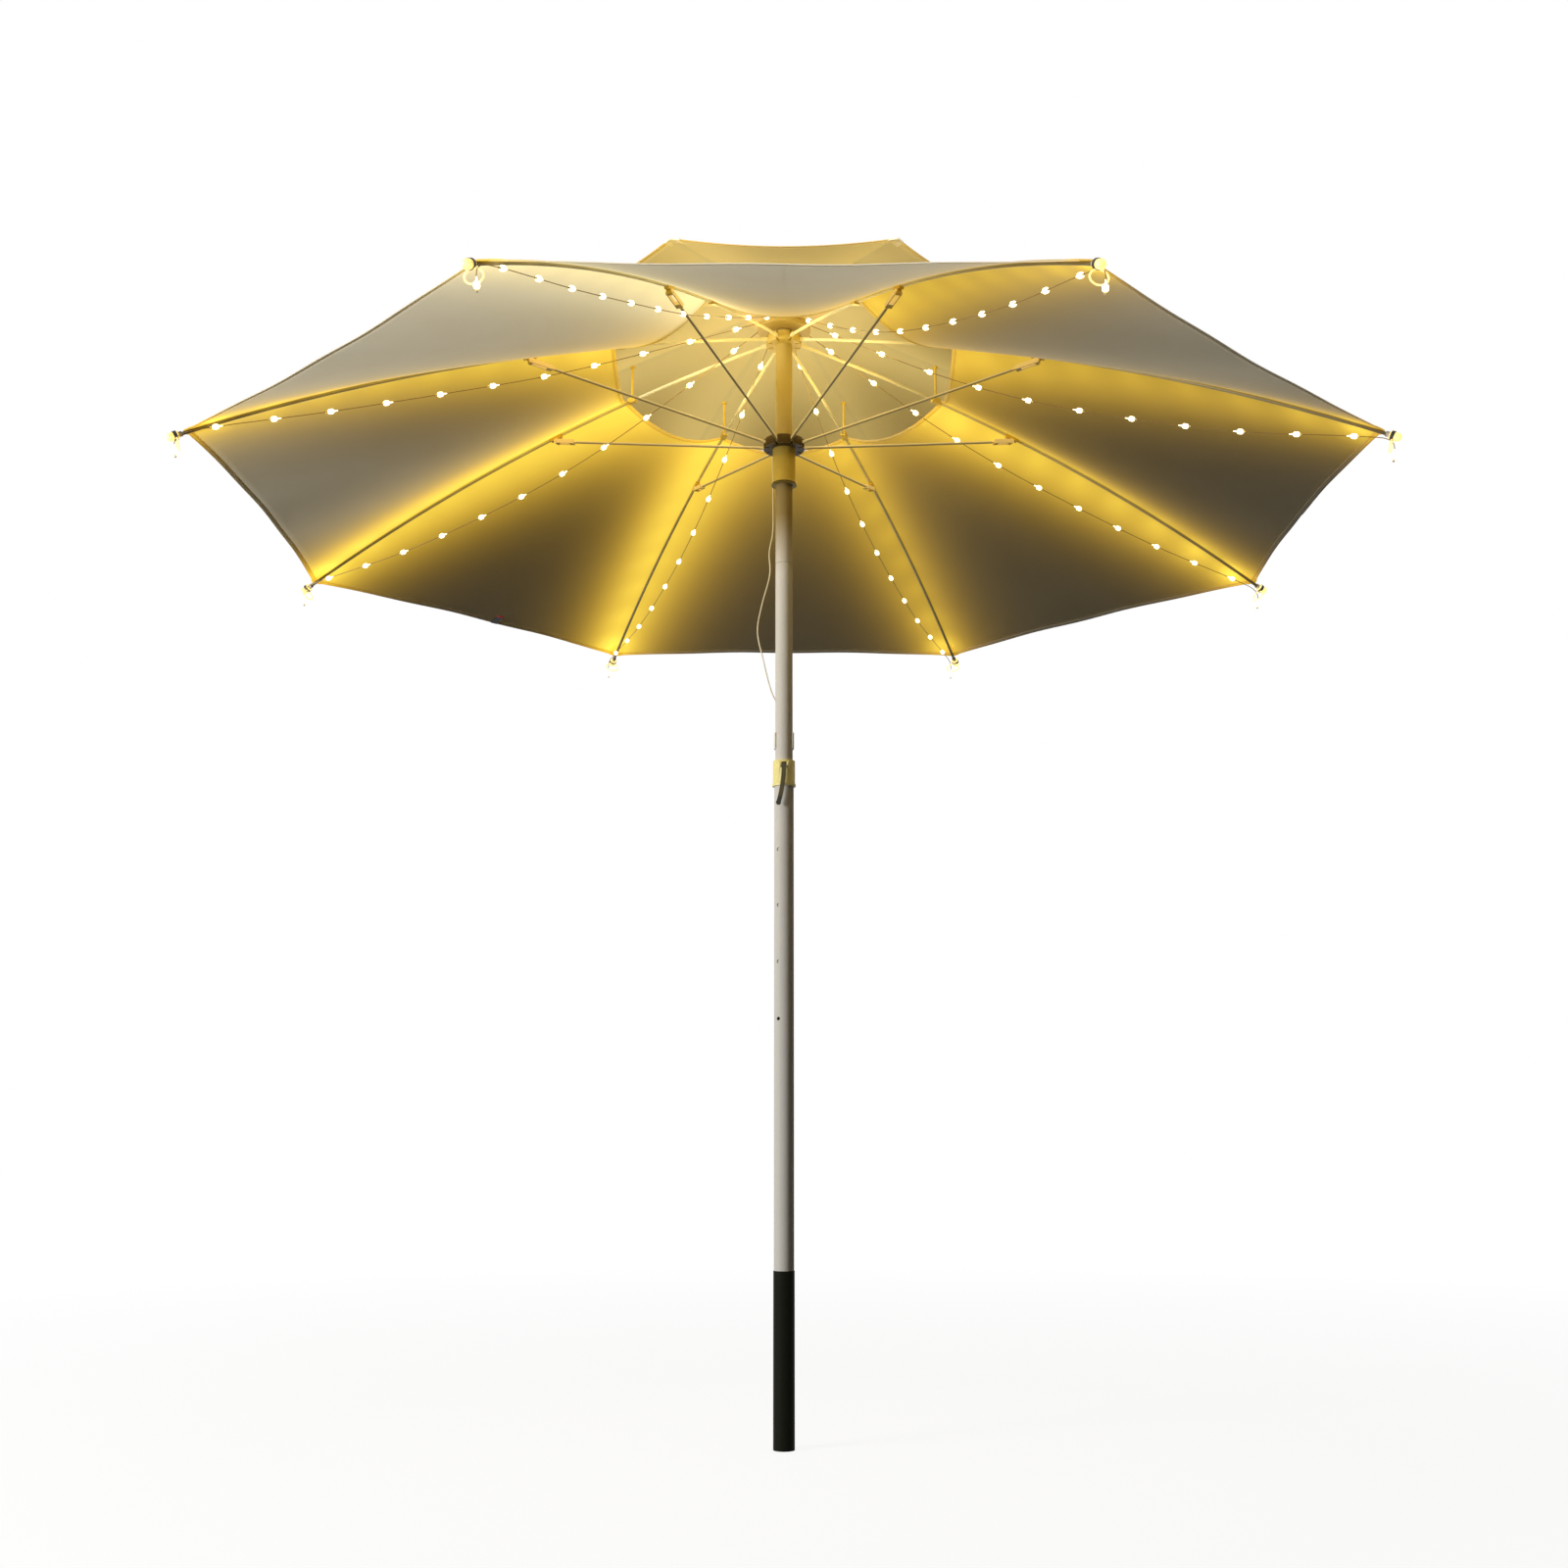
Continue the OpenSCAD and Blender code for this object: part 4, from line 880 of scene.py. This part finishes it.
# painted light: paler glow colours in the middles of the panels beside one rib
nearLook = {**canopyLook, "middle": {"glow": "#eee2ac", "farGlow": "#eee2b6", "paintedWarmShade": "#fffdf4"}}
underside = wovenCloth("polyesterUnderside", canopyLook)
nearUnderside = wovenCloth("polyesterUndersideNear", nearLook)
topside = wovenCloth("polyesterTop", topLook)
ventUnderside = wovenCloth("ventUnderside", ventLook)
ventTopside = wovenCloth("ventTop", {**topLook, "hemStitches": ventHems})


def thicken(sheet, thickness):
    # the grid is the sheet's middle; the lower skin gets the underside's material
    solid = sheet.modifiers.new("thickness", "SOLIDIFY")
    solid.thickness = thickness
    solid.offset = 0
    solid.use_even_offset = True
    solid.material_offset = 1
    return solid


def faceUp(sheet):
    # turns a sheet over whose normals point down
    up = sum(p.normal.z for p in sheet.data.polygons)
    if up < 0:
        sheet.data.flip_normals()


def hangOnRib(sheet, k):
    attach(sheet, f"rib_{k}")
    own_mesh(sheet)


def finishSheet(sheet, looks, litBase=0.0):
    # gives a grid of cloth its upper and lower materials, its glow and its thickness
    faceUp(sheet)
    cover(sheet, *looks)
    addPaintedGlow(sheet, litBase)
    thicken(sheet, cloth["thickness"])
    return sheet


mainRows, ventRows = foldedRows(cloth), foldedRows(vent)
canopySheets, ventSheets = {}, {}
for k in ribNumbers:
    sheet = clothSheet(f"canopy_cloth_{k}", k, mainRows, cloth["columns"], mainPoint)
    canopySheets[k] = finishSheet(sheet, (topside, nearUnderside if k == cloth["paintedPaleRib"] else underside))
    sheet = clothSheet(f"vent_cloth_{k}", k, ventRows, vent["columns"], ventPoint)
    ventSheets[k] = finishSheet(sheet, (ventTopside, ventUnderside), vent["litBase"])
print("cloth is cut and hemmed")

# White corners on the vent, and pockets that hold the rib tips, folded over the edge.
ventCorner = {
    "name": "vent_corner", "edge": vent["outer"], "depth": 24 * mm, "half": 15 * mm, "under": 2.2 * mm,
    "stitches": 21 * mm, "keep": vent["keep"],
}
tipPocket = {
    "name": "tip_pocket", "edge": cloth["outer"], "depth": 34 * mm, "half": 17 * mm, "under": 0.4 * mm,
    "stitches": 30 * mm, "keep": cloth["keep"],
}
pocketFold = {
    "past": 1 * mm, "over": 1.3 * mm, "bulge": 0.8, "columns": 8, "quarters": (0, 0.25, 0.5, 0.75, 1),
}


def edgePocket(size, k, pointAt):
    outer, depth, under = size["edge"] + pocketFold["past"], size["depth"], size["under"]
    over, quarters = pocketFold["over"], pocketFold["quarters"]
    rows = [(outer - depth * s, under, outer + depth * s) for s in reversed(quarters)]
    rows += [(outer + over * pocketFold["bulge"], under / 2, outer)]
    rows += [(outer - depth * s, -over, outer - depth * s) for s in quarters]
    return clothSheet(f"{size['name']}_{k}", k, rows, pocketFold["columns"], pointAt, size["half"])


def pocketHems(size):
    return [size["edge"] - size["stitches"], size["edge"] + size["stitches"]]


# painted light: the strands' light is painted on the white tape as glow
whiteTape = {
    "colour": "#f2efe6", "shade": "#e6e2d4", "thread": "#d2cdbc", "stitch": "#b9b39f", "seam": "#d8d3c2",
    "hemStitches": pocketHems(ventCorner), "through": 0.5, "paintedFacingShade": "#ffffff", "glow": "#ffe07a",
    "farGlow": "#ffe07a", "glowShare": 0.25, "paintedWarmShade": "#ffffff",
}
# painted light and shade: the strands' glow is painted on the pockets, and their reflecting side is darkened
# as painted shade
pocketTape = {
    "colour": "#cfc7ae", "shade": "#c6bda3", "thread": "#a1977b", "stitch": "#8a8166", "seam": "#a3997d",
    "hemStitches": pocketHems(tipPocket), "through": 0.5, "paintedFacingShade": "#b5ad9c", "glow": "#ffdb4e",
    "farGlow": "#ffc63a", "glowShare": 0.8, "paintedWarmShade": "#f2e0a6",
}
ventTape = wovenCloth("whitePolyesterTape", whiteTape)
tipTape = wovenCloth("polyesterTape", pocketTape)
skyLitPieces = [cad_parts["crown_plug"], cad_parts["finial"]]
for k in ribNumbers:
    for size, pointAt, tape, panel in (
            (ventCorner, ventPoint, ventTape, ventSheets[k]),
            (tipPocket, mainPoint, tipTape, canopySheets[k])):
        pocket = edgePocket(size, k, pointAt)
        cover(pocket, tape)
        addPaintedGlow(pocket)
        thicken(pocket, cloth["thickness"]).material_offset = 0
        skyLitPieces.append(pocket)
        hangOnRib(pocket, k)

for k in ribNumbers:
    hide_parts(f"canopy_gore_{k}")
    for panel, size in ((canopySheets[k], cloth), (ventSheets[k], vent)):
        hangOnRib(panel, k)

# The crown patch: an octagon of cloth under the finial.
patch = {
    "inner": 0.017, "outer": 0.090, "lift": 1.5 * mm, "rows": 10, "columns": 64, "stitches": (4 * mm, 8 * mm),
    "areaShare": 2.9,  # of its radius squared
}


def makePatch():
    vertices, uvs = [], []
    for j in range(patch["rows"] + 1):
        r = patch["inner"] + (patch["outer"] - patch["inner"]) * j / patch["rows"]
        for i in range(patch["columns"]):
            turn = i / patch["columns"] * parasol["ribs"]
            panel, u = int(turn) + 1, turn % 1
            point = panelDirection(panel, u) * r
            point.z = ventHeight(r) + patch["lift"]
            vertices.append(point)
            uvs.append((u * r, r))
    sheet = gridSheet("crown_patch_cloth", vertices, uvs, patch["rows"], patch["columns"], closed=True)
    sheet.data.polygons.foreach_set("use_smooth", [True] * len(sheet.data.polygons))
    return sheet


# painted light: the patch's underside is golden where its top is pale, for the strands' warm light
crownLook = {
    "colour": "#dba62e", "shade": "#cd9822", "thread": "#a87a18", "stitch": "#8f6a1c", "seam": "#b58a2a",
    "hemStitches": [patch["outer"] - inset for inset in patch["stitches"]], "through": 0.5,
    "paintedFacingShade": "#ffffff", "glow": "#ffd840", "farGlow": "#ffd03a", "glowShare": 0.34, "paintedWarmShade": "#f2e0a6",
}
crownTop = wovenCloth("crownPatchTop", {**topLook, "glowShare": 0.1})
crownPatch = finishSheet(makePatch(), (crownTop, wovenCloth("crownPatchUnderside", crownLook)))
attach(crownPatch, "mast_upper")
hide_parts("crown_patch")
print("crown patch and pockets are sewn")

# Tie strap: black webbing turned in under the hem, with a red hook tab on its end.
strap = {
    "panel": 3, "place": 0.45, "length": 34 * mm, "width": 17 * mm, "thickness": 1.2 * mm, "gap": 1.1 * mm,
    "colour": "#0d0d0d", "shade": "#23221f", "tab": "#d3303a",
    "curl": 2.2 * mm, "rows": 12, "columns": 6, "webbingRibs": 24, "tabFrom": 0.82,
}


def makeStrap():
    rows, columns, vertices, uvs = strap["rows"], strap["columns"], [], []
    for j in range(rows + 1):
        r = cloth["outer"] - strap["length"] * j / rows
        for i in range(columns + 1):
            offset = (i / columns - 0.5) * strap["width"] / (2 * r * math.sin(ribStep / 2))
            point = mainPoint(strap["panel"], strap["place"] + offset, r)
            curl = strap["curl"] * (j / rows) ** 3
            point.z -= strap["gap"] + strap["thickness"] / 2 + curl
            vertices.append(point)
            uvs.append((offset, j / rows))
    return gridSheet("tie_strap", vertices, uvs, rows, columns)


def strapWebbing():
    # woven nylon tape, ribbed across; its end is the red tab
    material, tree = startMaterial("blackNylonWebbing")
    uv = addNode(tree, "UVMap", uv_map="cloth").outputs[0]
    along = addNode(tree, "SeparateXYZ", sources={0: uv}).outputs["Y"]
    waveScale = 2 * math.pi / 20 * strap["webbingRibs"]
    ribs = addNode(tree, "TexWave", {"Scale": waveScale}, {"Vector": uv}, bands_direction="Y")
    colour = mixColours(tree, ribs.outputs["Fac"], strap["colour"], strap["shade"])
    onTab = calculate(tree, "GREATER_THAN", along, strap["tabFrom"])
    colour = mixColours(tree, onTab, colour, strap["tab"])
    bump = addNode(tree, "Bump", {"Strength": 0.5, "Distance": 0.2 * mm}, {"Height": ribs.outputs["Fac"]})
    shader = addNode(tree, "BsdfPrincipled", {"Roughness": 0.75}, {
        "Base Color": colour, "Normal": bump.outputs[0]})
    addNode(tree, "OutputMaterial", sources={"Surface": shader.outputs[0]})
    return material


tieStrap = makeStrap()
faceUp(tieStrap)
cover(tieStrap, strapWebbing())
thicken(tieStrap, strap["thickness"]).material_offset = 0
hangOnRib(tieStrap, strap["panel"])
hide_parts("closing_strap")

# Clear clip on each rib tip, with a black band and a loop of clear tube that takes up the strand's end.
clearPlastic = hardFinish("clearPolycarbonate", {
    "colour": "#f4efdc", "shade": "#ece5c9", "cloud": 8, "grain": 1.5, "bump": 0.05,
    # painted light: a warm glow in the clear plastic stands for the strands' lamps shining through it
    "roughness": 0.12, "transmission": 0.5, "ior": 1.5, "glow": "#ffd97a", "glowStrength": 0.6,
})
blackBand = hardFinish("blackNylonBand", {
    "colour": "#12120f", "shade": "#1b1b17", "cloud": 4, "grain": 0.6, "bump": 0.03, "roughness": 0.45,
})
tipClip = {
    "sides": 24, "inner": 4.9 * mm, "outer": 7.6 * mm, "length": 15 * mm, "back": 9 * mm, "floor": 2 * mm,
    "nose": ((3 * mm, 0.75), (1.5 * mm, 0.55)),  # length of each step, and the share of its width it keeps
    "band": 6 * mm, "bandAt": -4 * mm, "bandOver": 0.7 * mm, "bandRim": 0.8 * mm, "bandWall": 0.6 * mm,
    "loopTube": 1.5 * mm, "loopWide": 15 * mm, "loopTall": 10 * mm, "loopLean": 5 * mm, "loopAside": 4 * mm,
    "loopSunk": 1 * mm, "loopTurns": 20, "loopSides": 8, "smoothBelow": 35,
}


def makeTipClip():
    # modelled along X with the rib's tip at the origin
    outer, length = tipClip["outer"], tipClip["length"]
    middle = length / 2 - tipClip["back"]
    clip = addCylinder(tipClip["sides"], outer, length, middle, (clearPlastic, blackBand))
    pickFaces(clip, lambda p: looksAlong(p, 1))
    for step, share in tipClip["nose"]:
        pushFaces(step, share)
    pickFaces(clip, lambda p: looksAlong(p, -1))
    bpy.ops.mesh.inset(thickness=outer - tipClip["inner"])
    pushFaces(length - tipClip["floor"])
    smoothPiece(clip, tipClip["smoothBelow"])
    band = addCylinder(
        tipClip["sides"], outer + tipClip["bandOver"], tipClip["band"], tipClip["bandAt"], (blackBand,))
    pickFaces(band, lambda p: looksAlong(p, 1) or looksAlong(p, -1))
    bpy.ops.mesh.inset(thickness=tipClip["bandRim"])
    bpy.ops.mesh.delete(type="FACE")
    setMode("OBJECT")
    wall = band.modifiers.new("wall", "SOLIDIFY")
    wall.thickness = tipClip["bandWall"]
    wall.offset = -1
    bpy.ops.object.modifier_apply(modifier="wall")
    smoothPiece(band, tipClip["smoothBelow"])
    ring = []
    for i in range(tipClip["loopTurns"] + 1):
        turn = 2 * math.pi * i / tipClip["loopTurns"]
        ring.append(Vector((
            tipClip["bandAt"] + tipClip["loopLean"] * math.sin(turn / 2),
            tipClip["loopWide"] * math.sin(turn) + tipClip["loopAside"],
            tipClip["loopSunk"] - outer - tipClip["loopTall"] * (1 - math.cos(turn)),
        )))
    loop = tubeMesh("tip_loop", ring, tipClip["loopTube"], tipClip["loopSides"])
    cover(loop, clearPlastic)
    return joinPieces([clip, band, loop], "tip_clip_model")


clipModel = makeTipClip()
tilt = Matrix.Rotation(ribSlope(tipR), 4, "Y")
for k in ribNumbers:
    atTip = Matrix.Translation(outward(k) * tipR + Vector((0, 0, tipZ)))
    clip = meshCopy(clipModel, f"rib_tip_clip_{k}", atTip @ Matrix.Rotation(ribTurn(k), 4, "Z") @ tilt)
    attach(clip, f"rib_{k}")
    wire, beads = strandWires[k], strandBeads[k]
    for piece in (wire, beads):
        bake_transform(piece)
    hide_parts(f"strand_{k}")
bpy.data.objects.remove(clipModel)

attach(leadWire, "mast_upper")
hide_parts("lead_wire")
print("clips are on the tips")

for name, (finish, nodes) in nodeFinishes.items():
    material = hardFinish(name, finish)
    for node in nodes:
        dressNode(node, material)
print("construction is dressed")

# Studio: a pale floor, a soft lamp high on the left in front, and a second one low on the left.
studio = {
    "sky": {"place": (-1.5, -5.6, 2.5), "size": 1.5, "power": 560, "aim": (0, 0, 1.85)},
    "side": {"place": (-4.35, -2.6, 1.3), "size": 1.4, "power": 225, "aim": (0, 0, 1.2)},
    "floor": 24.0,
    "floorGrey": "#6a6a68",
    "shadowLevel": 0.91,  # how bright the floor is seen at the pole's foot
    "shadowTo": 1.0, "whiteFrom": 5.0, "ambient": 0.05,
}
# What the lights on the strands throw on the frame: a ring of small warm lamps round the crown.
crownGlow = {"lamps": 8, "out": 0.16, "height": 1.95, "radius": 0.03, "power": 0.28, "colour": "#ffe592"}


def addSoftbox(name, box):
    bpy.ops.object.light_add(type="AREA", location=box["place"])
    lamp = bpy.context.object
    lamp.name = name
    lamp.data.shape = "SQUARE"
    lamp.data.size = box["size"]
    lamp.data.energy = box["power"]
    way = Vector(box["aim"]) - Vector(box["place"])
    lamp.rotation_euler = way.to_track_quat("-Z", "Y").to_euler()
    return lamp


def seenDirectly(tree):
    path = addNode(tree, "LightPath").outputs
    return calculate(tree, "MAXIMUM", path["Is Camera Ray"], path["Is Glossy Ray"])


def paleFloor():
    # seen directly it is near white and keeps the shadow; to the object it is grey and throws little light up
    material, tree = startMaterial("paleStudioFloor")
    seen = seenDirectly(tree)
    place = addNode(tree, "TexCoord").outputs["Object"]
    out = addNode(tree, "VectorMath", sources={0: place}, operation="LENGTH").outputs["Value"]
    level = mapRange(tree, out, studio["shadowTo"], studio["whiteFrom"], studio["shadowLevel"], 1.0)
    diffuse = addNode(tree, "BsdfDiffuse", {"Color": toLinear(studio["floorGrey"])})
    lift = addNode(tree, "Emission", {"Color": (1, 1, 1, 1)}, {
        "Strength": times(tree, seen, level)})
    both = addNode(tree, "AddShader", sources={0: diffuse.outputs[0], 1: lift.outputs[0]})
    addNode(tree, "OutputMaterial", sources={"Surface": both.outputs[0]})
    material.cycles.emission_sampling = "NONE"
    return material


clearSelection()
bpy.ops.mesh.primitive_plane_add(size=2 * studio["floor"])
floor = bpy.context.object
floor.name = "studio_floor"
cover(floor, paleFloor())
# Only the cloth, the crown plug and the finial take the high lamp's light.
skyLight = addSoftbox("skyLight", studio["sky"])
lit = bpy.data.collections.new("underTheSky")
for piece in [*canopySheets.values(), *ventSheets.values(), crownPatch, *skyLitPieces]:
    lit.objects.link(piece)
skyLight.light_linking.receiver_collection = lit
addSoftbox("sideLight", studio["side"])
for i in range(crownGlow["lamps"]):
    turn = 2 * math.pi * i / crownGlow["lamps"]
    bpy.ops.object.light_add(type="POINT", location=(
        crownGlow["out"] * math.cos(turn), crownGlow["out"] * math.sin(turn), crownGlow["height"]))
    lamp = bpy.context.object
    lamp.name = f"crownGlow{i + 1}"
    lamp.visible_camera = False
    lamp.data.energy = crownGlow["power"]
    lamp.data.color = toLinear(crownGlow["colour"])[:3]
    lamp.data.shadow_soft_size = crownGlow["radius"]

world = bpy.data.worlds.new("studioAir")
bpy.context.scene.world = world
world.use_nodes = True
world.node_tree.nodes.clear()
airTree = world.node_tree
airLevel = mapRange(airTree, seenDirectly(airTree), 0.0, 1.0, studio["ambient"], 1.0)
air = addNode(airTree, "Background", {"Color": (1, 1, 1, 1)}, {"Strength": airLevel})
addNode(airTree, "OutputWorld", sources={"Surface": air.outputs[0]})
bpy.context.scene.view_settings.view_transform = "Standard"
print("studio is lit")
